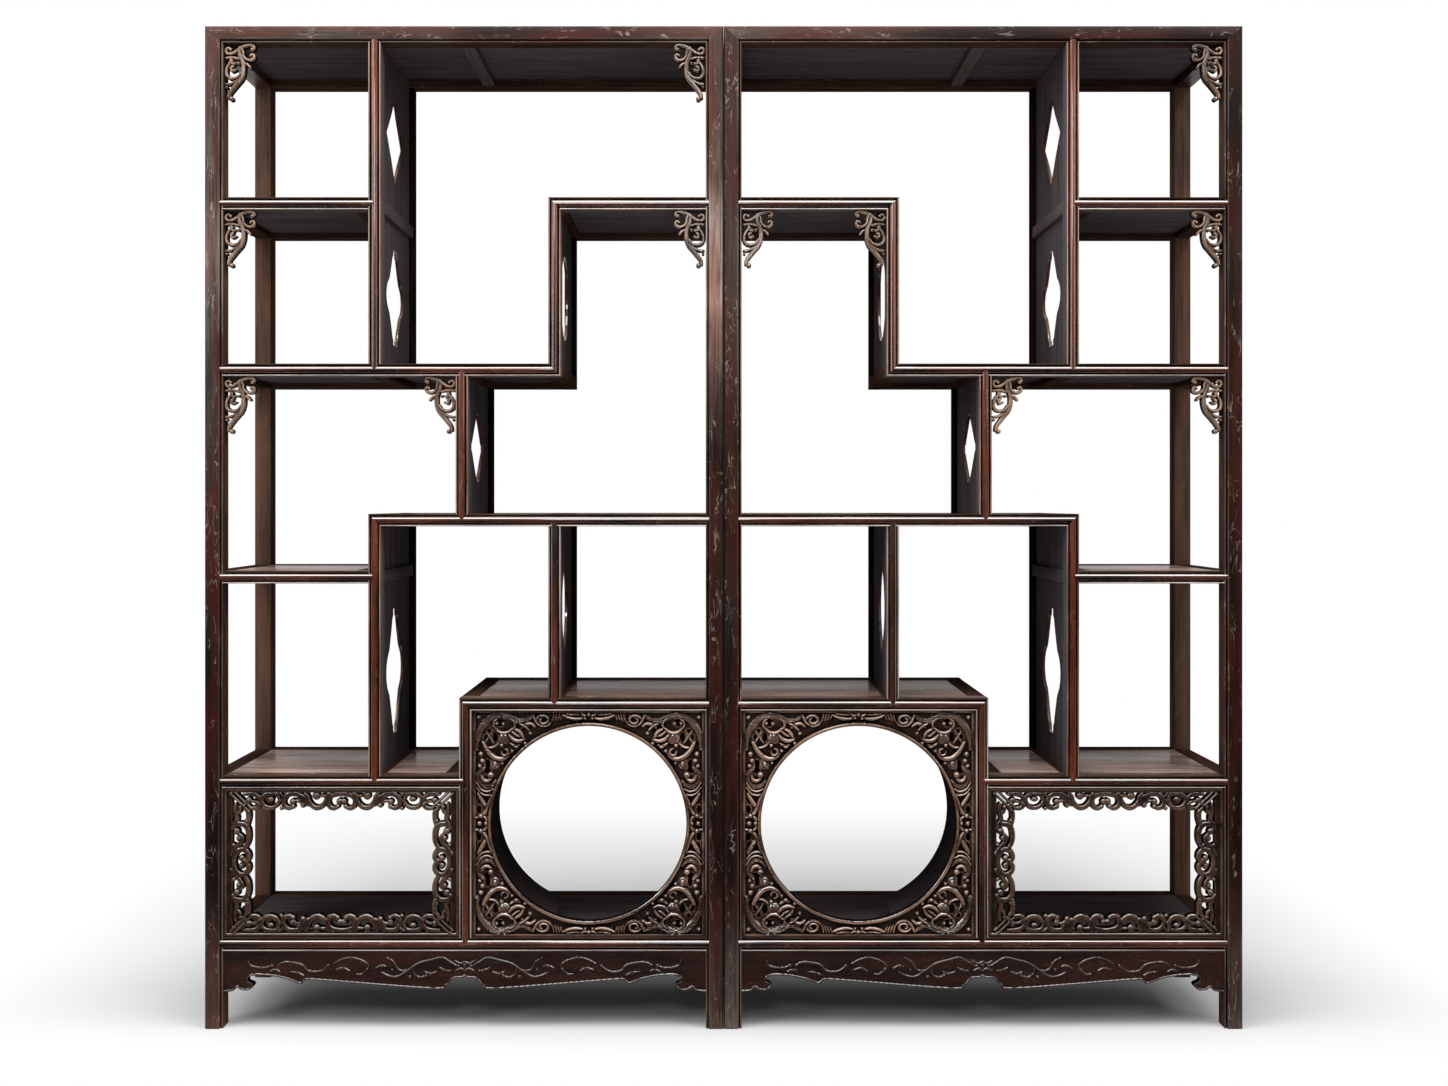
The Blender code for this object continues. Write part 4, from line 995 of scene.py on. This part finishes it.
APRON_VINE = [
    [(48, 17.7), (49, 23), (54, 29), (69.4, 32.5), (83, 31.5), (94, 27)],
    [(104, 27.6), (115.7, 21.6), (135.5, 22.6), (152, 27.6), (162, 37.5), (175, 40), (188.4, 37.5), (201.7, 27.6)],
    [(211.6, 24.3), (228, 16), (244.6, 12.7), (264.5, 17.7), (277.7, 26), (278, 35.8)],
    [(314, 12.7), (327, 21), (337, 35.8), (350, 37.5), (363.7, 32.5)],
    [(304, 40.8), (317, 47.4), (334, 49), (353.7, 37.5), (373.6, 24.3), (396.7, 17.7), (420, 12.7), (436, 21),
     (449.6, 29)],
    [(364, 32.5), (367, 44), (377, 50.7), (390, 47.4)],
    [(88, 40), (99, 36), (108, 40)], [(128, 40), (142, 42), (154, 47)], [(216, 36), (230, 33), (242, 38)],
    [(256, 44), (264.5, 45), (274, 37)], [(292, 33), (304, 28), (312, 30)], [(388, 40), (397, 44), (410, 40)],
    [(416, 32), (424, 37), (436, 38)], [(444, 18), (455, 24), (464, 20)],
    [(446, 38), (456, 34), (464, 38)],
]
APRON_BALLS = [((99, 37), 2.6), ((142, 42), 2.6), ((230, 33), 2.8), ((274, 37), 2.8), ((304, 29), 2.6),
               ((324, 36), 2.4), ((397, 44), 2.8), ((424, 36), 2.6), ((358, 50), 2.6), ((464, 28), 4.0),
               ((452, 29), 2.8), ((93, 28), 2.6), ((201, 28), 2.4), ((276, 35), 2.8), ((390, 47), 2.6)]


def apron():
    half = ((far_wall - near_wall) / MM - 2 * APRON_CLEARANCE) / 2
    lowest = max(drop for _, drop in APRON_EDGE_END)
    relief = Relief(half, lowest, APRON_STEP, ground=0, solid=FAR)
    edge = np.array(APRON_EDGE_END + [(half - inset, drop) for inset, drop in APRON_EDGE_MIDDLE])
    edge = np.concatenate([edge[:1], smooth_path(edge, APRON_EDGE_STEPS)])
    distance, _ = relief.near_path(edge, APRON_EDGE_REACH)
    inside = np.zeros(relief.u.shape, bool)
    for start, stop in zip(edge[:-1], edge[1:]):
        low, high = sorted((start[0], stop[0]))
        if high > low:
            drop = start[1] + (relief.u - start[0]) * (stop[1] - start[1]) / (stop[0] - start[0])
            inside ^= (relief.u >= low) & (relief.u < high) & (relief.v < drop)
    inside[:, -1] = inside[:, -2]
    relief.solid = np.where(inside, 1, -1) * np.minimum(distance, FAR)
    lip = np.clip(1 - (distance / APRON_LIP_HALF_WIDTH - 1) ** 2, 0, 1)
    groove = np.exp(-((distance - APRON_GROOVE_INSET) / APRON_GROOVE_WIDTH) ** 2)
    top_groove = np.exp(-((relief.v - APRON_TOP_GROOVE_INSET) / APRON_TOP_GROOVE_WIDTH) ** 2)
    relief.level += APRON_LIP_RISE * np.sqrt(lip) - APRON_GROOVE_DEPTH * groove
    relief.level -= APRON_TOP_GROOVE_DEPTH * top_groove
    for points in APRON_VINE:
        relief.stroke(points, APRON_VINE_HALF_WIDTH, APRON_VINE_RISE, 0.0, ends=(0.6, 0.5), gap=APRON_GAP,
                      sink=APRON_VINE_SINK)
    for centre, radius in APRON_BALLS:
        relief.ball(centre, radius - APRON_BALL_TRIM, APRON_BALL_RISE, 0.0, APRON_GAP, APRON_BALL_SINK)
    upper_corner = (near_wall + APRON_CLEARANCE * MM, span("apron", ALONG_Z)[1])
    return carved_shell(relief.mirrored(down=False), upper_corner, True, ALONG_X)


# Materials

class Tree:
    """Short calls for building a material's nodes: a value that is a socket is linked, any other is set."""

    def __init__(self, tree):
        self.nodes, self.links = tree.nodes, tree.links

    def add(self, kind, inputs=(), output=0, **settings):
        """A new node's output. Colours are red, green and blue alone."""
        node = self.nodes.new("ShaderNode" + kind)
        for name, value in settings.items():
            setattr(node, name, value)
        for name, value in dict(inputs).items():
            socket = node.inputs[name]
            if isinstance(value, bpy.types.NodeSocket):
                self.links.new(value, socket)
            else:
                socket.default_value = (*value, 1.0) if socket.type == "RGBA" else value
        return node.outputs[output]

    def math(self, operation, first, second=0.0, clamp=False):
        return self.add("Math", {0: first, 1: second}, operation=operation, use_clamp=clamp)

    def between(self, value, low, high):
        """0 below low and 1 above high, or the other way round where high is the smaller."""
        return self.add("MapRange", {"Value": value, "From Min": low, "From Max": high})

    def mix(self, amount, first, second):
        return self.add("Mix", {0: amount, 6: first, 7: second}, output=2, data_type="RGBA")

    def blend(self, first, first_share, second, second_share):
        """The sum of two values, each times its share."""
        first = self.math("MULTIPLY", first, first_share)
        return self.math("ADD", first, self.math("MULTIPLY", second, second_share))

    def noise(self, vector, stretch, detail=3.0, distortion=0.0):
        scaled = self.add("VectorMath", {0: vector, 1: stretch}, operation="MULTIPLY")
        settings = {"Vector": scaled, "Scale": 1.0, "Detail": detail, "Distortion": distortion}
        return self.add("TexNoise", settings)


# Patterns of the wood, in repeats per metre along the grain and across it
STREAKS, PATCHES, CLOUDS = (9, 300, 300), (4, 42, 42), (5, 14, 14)
SCRATCHES, SCRATCHED_PLACES = (24, 75, 75), (18, 60, 60)
STREAK_STRENGTH = 0.55
# The colour of painted shade in hollows and grooves, and its share where the shade is full
HOLLOW_SHADE, HOLLOW_SHADE_SHARE = (0.004, 0.0028, 0.0022), 0.88
RUDDY_SHARES = (0.55, 0.20, 0.14)
BUMP_DEPTH = 0.6 * MM
COAT_ROUGHNESS, COAT_IOR = 0.08, 2.4


def wood(name, deep, warm, dusty, worn_and_lit, red_share, scratch_share, gloss, mirror, lacquer=0.0,
         grain_depth=0.25, ruddy=0.0):
    """Lacquered hardwood: streaky grain, warm and dusty patches, fine scratches, crests lighter from wear and painted
    highlight, painted shade in hollows.

    gloss is the middle roughness, and ruddy is how red the worn wood turns in the warm patches.
    """
    material = bpy.data.materials.new(name)
    material.use_nodes = True
    tree = Tree(material.node_tree)
    shader = material.node_tree.nodes["Principled BSDF"]
    grain = tree.add("Attribute", output=1, attribute_name="grain")
    wear = tree.add("Attribute", output=2, attribute_name="wear")
    painted_shade = tree.add("Attribute", output=2, attribute_name="painted_shade")
    streak = tree.noise(grain, STREAKS, 4)
    patch = tree.noise(grain, PATCHES, 3)
    cloud = tree.noise(grain, CLOUDS, 4)
    base = tree.mix(tree.math("MULTIPLY", tree.between(patch, 0.38, 0.62), red_share), deep, warm)
    base = tree.mix(tree.math("MULTIPLY", tree.between(streak, 0.35, 0.75), STREAK_STRENGTH), base, dusty)
    wriggle = tree.noise(grain, SCRATCHES, 1, 1.0)
    line = tree.between(tree.math("ABSOLUTE", tree.math("SUBTRACT", wriggle, 0.5)), 0.022, 0.006)
    where = tree.between(tree.noise(grain, SCRATCHED_PLACES, 2), 0.50, 0.60)
    scratch = tree.math("MULTIPLY", tree.math("MULTIPLY", line, where), scratch_share)
    base = tree.mix(scratch, base, worn_and_lit)
    uneven = tree.between(tree.blend(cloud, 0.55, streak, 0.45), 0.34, 0.62)
    rubbed_and_lit = tree.math("MULTIPLY", wear, uneven, clamp=True)
    if ruddy:
        red = [share * value for share, value in zip(RUDDY_SHARES, worn_and_lit)]
        worn_and_lit = tree.mix(tree.math("MULTIPLY", tree.between(patch, 0.45, 0.58), ruddy), worn_and_lit, red)
    base = tree.mix(rubbed_and_lit, base, worn_and_lit)
    base = tree.mix(tree.math("MULTIPLY", painted_shade, HOLLOW_SHADE_SHARE, clamp=True), base, HOLLOW_SHADE)
    tree.links.new(base, shader.inputs["Base Color"])
    rough = tree.add("MapRange", {"Value": cloud, "From Min": 0.25, "From Max": 0.75, "To Min": gloss - 0.07,
                                  "To Max": gloss + 0.10})
    tree.links.new(tree.blend(rough, 1.0, painted_shade, 0.25), shader.inputs["Roughness"])
    height = tree.blend(streak, 0.6, cloud, 0.8)
    bump = tree.add("Bump", {"Height": height, "Strength": grain_depth, "Distance": BUMP_DEPTH})
    tree.links.new(bump, shader.inputs["Normal"])
    shader.inputs["Specular IOR Level"].default_value = mirror
    shader.inputs["Coat Weight"].default_value = lacquer
    shader.inputs["Coat Roughness"].default_value = COAT_ROUGHNESS
    shader.inputs["Coat IOR"].default_value = COAT_IOR
    return material


# The rail wood's pale worn colour paints the highlight lines along the mouldings, over some real wear
rail_wood = wood(
    "rail_hardwood", deep=(0.012, 0.0054, 0.0044), warm=(0.140, 0.038, 0.022),
    dusty=(0.026, 0.012, 0.009), worn_and_lit=(0.58, 0.48, 0.42), red_share=0.8, scratch_share=0.1,
    gloss=0.26, mirror=0.1, lacquer=1.0, grain_depth=0.03)
stile_wood = wood(
    "stile_hardwood", deep=(0.016, 0.0060, 0.0045), warm=(0.16, 0.034, 0.016),
    dusty=(0.040, 0.017, 0.011), worn_and_lit=(0.40, 0.27, 0.19), red_share=1.0, scratch_share=0.2,
    gloss=0.28, mirror=0.12, lacquer=0.5, grain_depth=0.05)
plain_wood = wood(
    "plain_hardwood", deep=(0.020, 0.0105, 0.0090), warm=(0.066, 0.026, 0.018),
    dusty=(0.046, 0.030, 0.024), worn_and_lit=(0.20, 0.13, 0.085), red_share=0.6, scratch_share=0.3,
    gloss=0.45, mirror=0.0)
# The posts' pale worn colour serves their wear and also the painted light on their beads and upper parts
post_wood = wood(
    "post_hardwood", deep=(0.0070, 0.0030, 0.0025), warm=(0.042, 0.0092, 0.0056),
    dusty=(0.019, 0.0090, 0.0073), worn_and_lit=(0.50, 0.40, 0.34), red_share=0.9, scratch_share=0.30,
    gloss=0.36, mirror=0.10, ruddy=0.6)
back_wood = wood(
    "back_hardwood", deep=(0.040, 0.024, 0.019), warm=(0.180, 0.075, 0.045),
    dusty=(0.125, 0.090, 0.075), worn_and_lit=(0.22, 0.15, 0.10), red_share=0.7, scratch_share=0.3,
    gloss=0.45, mirror=0.0)
# Panel wood is lighter and greyer than the dark panels' own colour: a painted sheen that stands in for their
# reflection
panel_wood = wood(
    "panel_hardwood", deep=(0.050, 0.043, 0.046), warm=(0.098, 0.077, 0.078),
    dusty=(0.108, 0.092, 0.097), worn_and_lit=(0.20, 0.135, 0.09), red_share=0.6, scratch_share=0.2,
    gloss=0.50, mirror=0.0)
# Shelf wood is lighter than the frame: on the shelf tops and rail tops, facing the lamp above, it gives painted sheen
# and light as well as real scuffs
shelf_wood = wood(
    "shelf_hardwood", deep=(0.020, 0.010, 0.008), warm=(0.125, 0.050, 0.032),
    dusty=(0.10, 0.066, 0.054), worn_and_lit=(0.56, 0.42, 0.35), red_share=0.8, scratch_share=0.4,
    gloss=0.19, mirror=0.004, grain_depth=0.05)
shadow_wood = wood(
    "shadowed_hardwood", deep=(0.003, 0.0022, 0.0020), warm=(0.006, 0.0036, 0.0028),
    dusty=(0.005, 0.0036, 0.0030), worn_and_lit=(0.05, 0.03, 0.02), red_share=0.5, scratch_share=0.0,
    gloss=0.60, mirror=0.0)
fret_wood = wood(
    "fretwork_hardwood", deep=(0.014, 0.0062, 0.0045), warm=(0.058, 0.022, 0.014),
    dusty=(0.034, 0.018, 0.013), worn_and_lit=(0.25, 0.140, 0.085), red_share=0.7, scratch_share=0.1,
    gloss=0.30, mirror=0.2, lacquer=0.6, grain_depth=0.02)
carved_wood = wood(
    "carved_hardwood", deep=(0.016, 0.0072, 0.0050), warm=(0.068, 0.025, 0.015),
    dusty=(0.040, 0.021, 0.015), worn_and_lit=(0.36, 0.205, 0.130), red_share=0.7, scratch_share=0.1,
    gloss=0.28, mirror=0.3, lacquer=1.0, grain_depth=0.02)
bracket_wood = wood(
    "bracket_hardwood", deep=(0.013, 0.0058, 0.0040), warm=(0.056, 0.020, 0.012),
    dusty=(0.032, 0.017, 0.012), worn_and_lit=(0.40, 0.240, 0.150), red_share=0.7, scratch_share=0.1,
    gloss=0.28, mirror=0.2, lacquer=0.45, grain_depth=0.02)
apron_wood = wood(
    "apron_hardwood", deep=(0.017, 0.0078, 0.0062), warm=(0.050, 0.0165, 0.011),
    dusty=(0.032, 0.018, 0.014), worn_and_lit=(0.15, 0.10, 0.076), red_share=0.7, scratch_share=0.15,
    gloss=0.34, mirror=0.1, lacquer=0.6, grain_depth=0.03)


# Objects

SHARP_ANGLE = math.radians(38)


def make(name, node, piece, main_wood, move=None, rubbed_and_lit=None, darkened=0.0):
    """The object of a piece, which stands for a node. move takes an array of points to their place.

    A function of the points' places may add wear and painted light, and take some away where its amount is negative,
    and a share may darken the whole piece.
    """
    points = np.concatenate(piece.points)
    grain = np.concatenate(piece.grain) + chance.uniform(0, 9, 3)
    if move is not None:
        points = move(points)
    mesh = bpy.data.meshes.new(name)
    mesh.from_pydata(points.tolist(), [], piece.faces)
    for material in (main_wood, plain_wood, panel_wood, shelf_wood, shadow_wood):
        mesh.materials.append(material)
    mesh.polygons.foreach_set("material_index", piece.finish)
    attribute = mesh.attributes.new("grain", "FLOAT_VECTOR", "POINT")
    attribute.data.foreach_set("vector", grain.astype(np.float32).ravel())
    extra_wear = rubbed_and_lit(points) if rubbed_and_lit else 0.0
    for label, values, extra in (("wear", piece.wear, extra_wear), ("painted_shade", piece.painted_shade, darkened)):
        attribute = mesh.attributes.new(label, "FLOAT", "POINT")
        values = np.concatenate(values) + extra
        attribute.data.foreach_set("value", values.astype(np.float32))
    builder = bmesh.new()
    builder.from_mesh(mesh)
    bmesh.ops.recalc_face_normals(builder, faces=builder.faces)
    builder.to_mesh(mesh)
    builder.free()
    mesh.shade_smooth()
    mesh.set_sharp_from_angle(angle=SHARP_ANGLE)
    item = bpy.data.objects.new(name, mesh)
    bpy.context.scene.collection.objects.link(item)
    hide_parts(node)
    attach(item, "root")


# The pieces of the right-hand cabinet

cabinet = {
    "front_inner_post": front_post(inner_post[1], inner_post[0], seam=1.0),
    "front_outer_post": front_post(*outer_post),
    "back_inner_post": back_post(*inner_post),
    "back_outer_post": back_post(*outer_post),
    "top_frame": top_frame(),
    "top_panel": top_panel(),
    "top_brace": top_brace(),
}
for name, *layout in (
    ("upper_outer_shelf", far_face["tall_partition"], onto_moulding, far_wall, onto_post),
    ("high_shelf", near_wall, onto_post, near_face["high_partition"], mitre_high),
    ("upper_long_shelf", far_face["high_partition"], mitre_low, far_wall, onto_post,
     ("tall_partition", "middle_partition")),
    ("middle_shelf", near_wall, onto_post, near_face["lower_partition"], mitre_high,
     ("middle_partition", "inner_partition")),
    ("lower_outer_shelf", far_face["lower_partition"], onto_moulding, far_wall, onto_post),
    ("window_top_shelf", near_wall, onto_post, near_face["window_partition"], mitre_high,
     ("inner_partition",)),
    ("lower_long_shelf", far_face["window_partition"], onto_moulding, far_wall, onto_post,
     ("lower_partition",)),
    ("bottom_shelf", near_wall, onto_post, far_wall, onto_post, ("window_partition",)),
):
    cabinet[name] = shelf(name, *layout)
for name, *layout in (
    ("tall_partition", "upper_long_shelf", onto_moulding, "top_frame", onto_post,
     [panel("upper_outer_shelf", "top_frame", "diamond", (160 * MM, 174 * MM), LONG_REACH),
      panel("upper_long_shelf", "upper_outer_shelf", "cartouche", (163 * MM, 190 * MM))],
     "upper_outer_shelf"),
    ("high_partition", "upper_long_shelf", mitre_low, "high_shelf", mitre_high,
     [panel("upper_long_shelf", "high_shelf", "oval", (140 * MM, 168 * MM))]),
    ("middle_partition", "middle_shelf", onto_moulding, "upper_long_shelf", onto_moulding,
     [panel("middle_shelf", "upper_long_shelf", "lozenge", (155 * MM, 135 * MM), LONG_REACH)]),
    ("lower_partition", "lower_long_shelf", onto_moulding, "middle_shelf", mitre_high,
     [panel("lower_long_shelf", "lower_outer_shelf", "cartouche", (165 * MM, 250 * MM)),
      panel("lower_outer_shelf", "middle_shelf")], "lower_outer_shelf"),
    ("inner_partition", "window_top_shelf", onto_moulding, "middle_shelf", onto_moulding,
     [panel("window_top_shelf", "middle_shelf", "pointed oval", (110 * MM, 188 * MM), LONG_REACH)]),
    ("window_partition", "bottom_shelf", onto_moulding, "window_top_shelf", mitre_high,
     [panel("bottom_shelf", "window_top_shelf")]),
):
    cabinet[name] = partition(name, *layout)
cabinet["fretwork_frame"] = fretwork_frame()
cabinet["window_panel"] = window_panel()
cabinet["apron"] = apron()

MAIN_WOOD = {
    **dict.fromkeys(("front_inner_post", "front_outer_post", "top_frame"), post_wood),
    **dict.fromkeys(("back_inner_post", "back_outer_post"), back_wood),
    **dict.fromkeys(("tall_partition", "high_partition", "middle_partition", "lower_partition"), stile_wood),
    "fretwork_frame": fret_wood, "window_panel": carved_wood, "apron": apron_wood,
}
SLOTS = {
    **dict.fromkeys(("top_panel", "top_brace"), "hardwood_panel"),
    **dict.fromkeys(("fretwork_frame", "window_panel", "apron"), "carved_hardwood"),
}
# Fretwork and brackets are darkened as a whole
FRETWORK_DARKENING, BRACKET_DARKENING = 0.2, 0.3

# More wear and painted light in some places, as stops of (height or distance from the seam, amount): wear at the feet;
# up the posts, lightening that is partly wear and partly painted light from the lamp above, most on the left inner
# post;
# along the top frames, a tone that changes with place, darker where the amount is negative
FOOT_RUB = ((0.0, 0.16), (0.12, 0.10), (0.25, 0.0))
POST_WEAR_AND_LIGHT = {
    "left_front_outer_post": ((0.65, 0.0), (0.9, 0.03), (1.2, 0.10), (1.35, 0.15), (1.5, 0.28), (1.65, 0.17),
                              (1.85, 0.12)),
    "left_front_inner_post": ((0.6, 0.0), (0.9, 0.02), (1.15, 0.08), (1.3, 0.28), (1.4, 0.95), (1.5, 0.85),
                              (1.6, 0.42), (1.7, 0.16), (1.85, 0.12)),
    "right_front_inner_post": ((0.6, 0.0), (0.9, 0.03), (1.2, 0.03), (1.4, 0.08), (1.55, 0.09), (1.7, 0.06),
                               (1.85, 0.05)),
    "right_front_outer_post": ((0.6, 0.0), (0.9, 0.0), (1.2, -0.02), (1.5, 0.02), (1.85, -0.02)),
}
TOP_FRAME_TONE = {
    "left_top_frame": ((-1.0, 0.12), (-0.65, 0.11), (-0.5, 0.01), (-0.2, 0.0), (-0.08, 0.10)),
    "right_top_frame": ((0.1, 0.10), (0.25, 0.06), (0.4, 0.01), (0.6, -0.10)),
}


def amount_along(axis, stops):
    places, amounts = zip(*stops)
    return lambda points: np.interp(points[:, axis], places, amounts)


WEAR_AND_LIGHT_BY_PLACE = {node: amount_along(ALONG_Z, FOOT_RUB + stops) for node, stops in POST_WEAR_AND_LIGHT.items()}
WEAR_AND_LIGHT_BY_PLACE.update({node: amount_along(ALONG_X, stops) for node, stops in TOP_FRAME_TONE.items()})


def mirror(points):
    return points * (-1, 1, 1)


def into_corner(x, z, turn):
    return lambda points: points * (turn, 1, 1) + np.array([x, 0, z])


for side, move in (("left", mirror), ("right", None)):
    for name, piece in cabinet.items():
        node = f"{side}_{name}"
        darkened = FRETWORK_DARKENING if name == "fretwork_frame" else 0.0
        make(node + "_visual", node, piece,
             MAIN_WOOD.get(name, rail_wood), move, WEAR_AND_LIGHT_BY_PLACE.get(node), darkened)

bracket_piece = bracket()
bracket_walls = (near_wall, -far_wall, far_face["middle_partition"], -near_face["high_partition"])
for node in sorted(frame["nodes"]):
    if node.endswith("_bracket"):
        low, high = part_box(node)
        wall_is_left = any(abs(low.x - wall) < 1 * MM for wall in bracket_walls)
        move = into_corner(low.x, high.z, 1) if wall_is_left else into_corner(high.x, high.z, -1)
        make(node + "_visual", node, bracket_piece, bracket_wood, move,
             darkened=BRACKET_DARKENING)


# Floor, light and camera. The camera is set from places in the photo, in its pixels

PIXEL = 1.92 * MM
IMAGE_WIDTH, IMAGE_HEIGHT = 1448, 1086
HORIZON_PIXEL, FLOOR_PIXEL = 504, 1029
MIDDLE_PIXEL, SEAM_PIXEL = 714, 723.7
CAMERA_DISTANCE = 2.95
SENSOR_WIDTH = 36
ROOM_LIGHT, DIM_REFLECTION = 0.15, 0.03
FLOOR_HALF_SIZE, FLOOR_DROP = 40, 0.5 * MM
SHADED_FLOOR = (0.56, 0.56, 0.56)
PALE_FLOOR = ((0.95, 0.95, 0.95), (0.98, 0.98, 0.98))
WHITE = (1, 1, 1)


def floor_material():
    """Pale floor that keeps the shadow near the object and turns plain white further away."""
    material = bpy.data.materials.new("pale_floor")
    material.use_nodes = True
    tree = Tree(material.node_tree)
    shader = material.node_tree.nodes["Principled BSDF"]
    place = tree.add("TexCoord", output="Object")
    x = tree.add("SeparateXYZ", {0: place}, output="X")
    y = tree.add("SeparateXYZ", {0: place}, output="Y")
    beside = tree.between(tree.math("ABSOLUTE", x), 1.52, 0.88)
    before = tree.between(y, -0.46, -0.10)
    after = tree.between(y, 1.95, 0.05)
    near = tree.math("MULTIPLY", tree.math("MULTIPLY", beside, before), after)
    tone = tree.mix(tree.noise(place, (3, 3, 3), 3), *PALE_FLOOR)
    # Painted shadow: the floor's own colour turns darker under the cabinet
    below = tree.add("VectorMath", {0: place, 1: (0.2, 1.0, 0.0)}, operation="MULTIPLY")
    below = tree.add("VectorMath", {0: below}, output="Value", operation="LENGTH")
    tone = tree.mix(tree.between(below, 0.15, 0.5), SHADED_FLOOR, tone)
    tree.links.new(tone, shader.inputs["Base Color"])
    shader.inputs["Roughness"].default_value = 0.9
    shader.inputs["Specular IOR Level"].default_value = 0.1
    path = tree.nodes.new("ShaderNodeLightPath").outputs
    seen = tree.math("MAXIMUM", path["Is Camera Ray"], path["Is Transmission Ray"])
    white = tree.math("MULTIPLY", tree.math("SUBTRACT", 1.0, near), seen)
    white = tree.math("MAXIMUM", white, path["Is Glossy Ray"])
    strength = tree.math("MAXIMUM", tree.between(y, -0.3, 0.6), seen)
    glow = tree.add("Emission", {"Color": WHITE, "Strength": strength})
    surface = tree.add("MixShader", {0: white, 1: shader.outputs[0], 2: glow})
    tree.links.new(surface, material.node_tree.nodes["Material Output"].inputs["Surface"])
    return material


def make_floor():
    mesh = bpy.data.meshes.new("floor")
    size = FLOOR_HALF_SIZE
    corners = [(-size, -size, 0), (size, -size, 0), (size, size, 0), (-size, size, 0)]
    mesh.from_pydata(corners, [], [(0, 1, 2, 3)])
    mesh.materials.append(floor_material())
    floor = bpy.data.objects.new("floor", mesh)
    floor.location.z = -FLOOR_DROP
    bpy.context.scene.collection.objects.link(floor)


def make_world():
    """White to the camera, dim to other rays, and dark where polished wood mirrors the room's front."""
    world = bpy.data.worlds.new("studio")
    bpy.context.scene.world = world
    world.use_nodes = True
    tree = Tree(world.node_tree)
    path = tree.nodes.new("ShaderNodeLightPath").outputs
    seen = tree.math("MAXIMUM", path["Is Camera Ray"], path["Is Glossy Ray"])
    seen = tree.math("MAXIMUM", seen, path["Is Transmission Ray"])
    direction = tree.add("TexCoord", output="Generated")
    behind = tree.between(tree.add("SeparateXYZ", {0: direction}, output="Y"), -0.15, 0.5)
    mirrored = tree.add("MapRange", {"Value": behind, "To Min": DIM_REFLECTION, "To Max": 1.0})
    seen = tree.math("MAXIMUM", path["Is Camera Ray"], tree.math("MULTIPLY", mirrored, seen))
    back_light = world.node_tree.nodes["Background"]
    back_light.inputs["Color"].default_value = (*WHITE, 1)
    tree.links.new(tree.math("MAXIMUM", seen, ROOM_LIGHT), back_light.inputs["Strength"])


def softbox(name, place, target, size, power):
    lamp = bpy.data.lights.new(name, "AREA")
    lamp.shape = "RECTANGLE"
    lamp.size, lamp.size_y = size
    lamp.energy = power
    item = bpy.data.objects.new(name, lamp)
    item.location = place
    direction = np.subtract(target, place)
    yaw = math.atan2(direction[0], -direction[1])
    pitch = math.atan2(math.hypot(direction[0], direction[1]), -direction[2])
    item.rotation_euler = (pitch, 0, math.pi + yaw)
    bpy.context.scene.collection.objects.link(item)


def make_camera():
    camera = bpy.data.cameras.new("camera")
    camera.sensor_width = SENSOR_WIDTH
    camera.lens = CAMERA_DISTANCE / (IMAGE_WIDTH * PIXEL) * SENSOR_WIDTH
    camera.shift_x = (IMAGE_WIDTH / 2 - MIDDLE_PIXEL) / IMAGE_WIDTH
    camera.shift_y = -(IMAGE_HEIGHT / 2 - HORIZON_PIXEL) / IMAGE_WIDTH
    item = bpy.data.objects.new("camera", camera)
    item.location = ((MIDDLE_PIXEL - SEAM_PIXEL) * PIXEL, front - CAMERA_DISTANCE,
                     (FLOOR_PIXEL - HORIZON_PIXEL) * PIXEL)
    item.rotation_euler = (math.pi / 2, 0, 0)
    bpy.context.scene.collection.objects.link(item)
    bpy.context.scene.camera = item


make_floor()
make_world()
softbox("overhead", place=(-0.15, -0.85, 2.75), target=(-0.15, -0.75, 0.0), size=(4.0, 1.4), power=112)
softbox("front", place=(-0.3, -3.5, 2.4), target=(0, 0, 1.2), size=(0.9, 0.6), power=14)
softbox("left_key", place=(-2.8, -2.2, 2.2), target=(0, 0, 0.9), size=(1.0, 1.4), power=30)
softbox("right_key", place=(2.8, -2.2, 2.0), target=(0, 0, 0.9), size=(1.0, 1.4), power=12)
make_camera()
bpy.context.scene.view_settings.view_transform = "Standard"
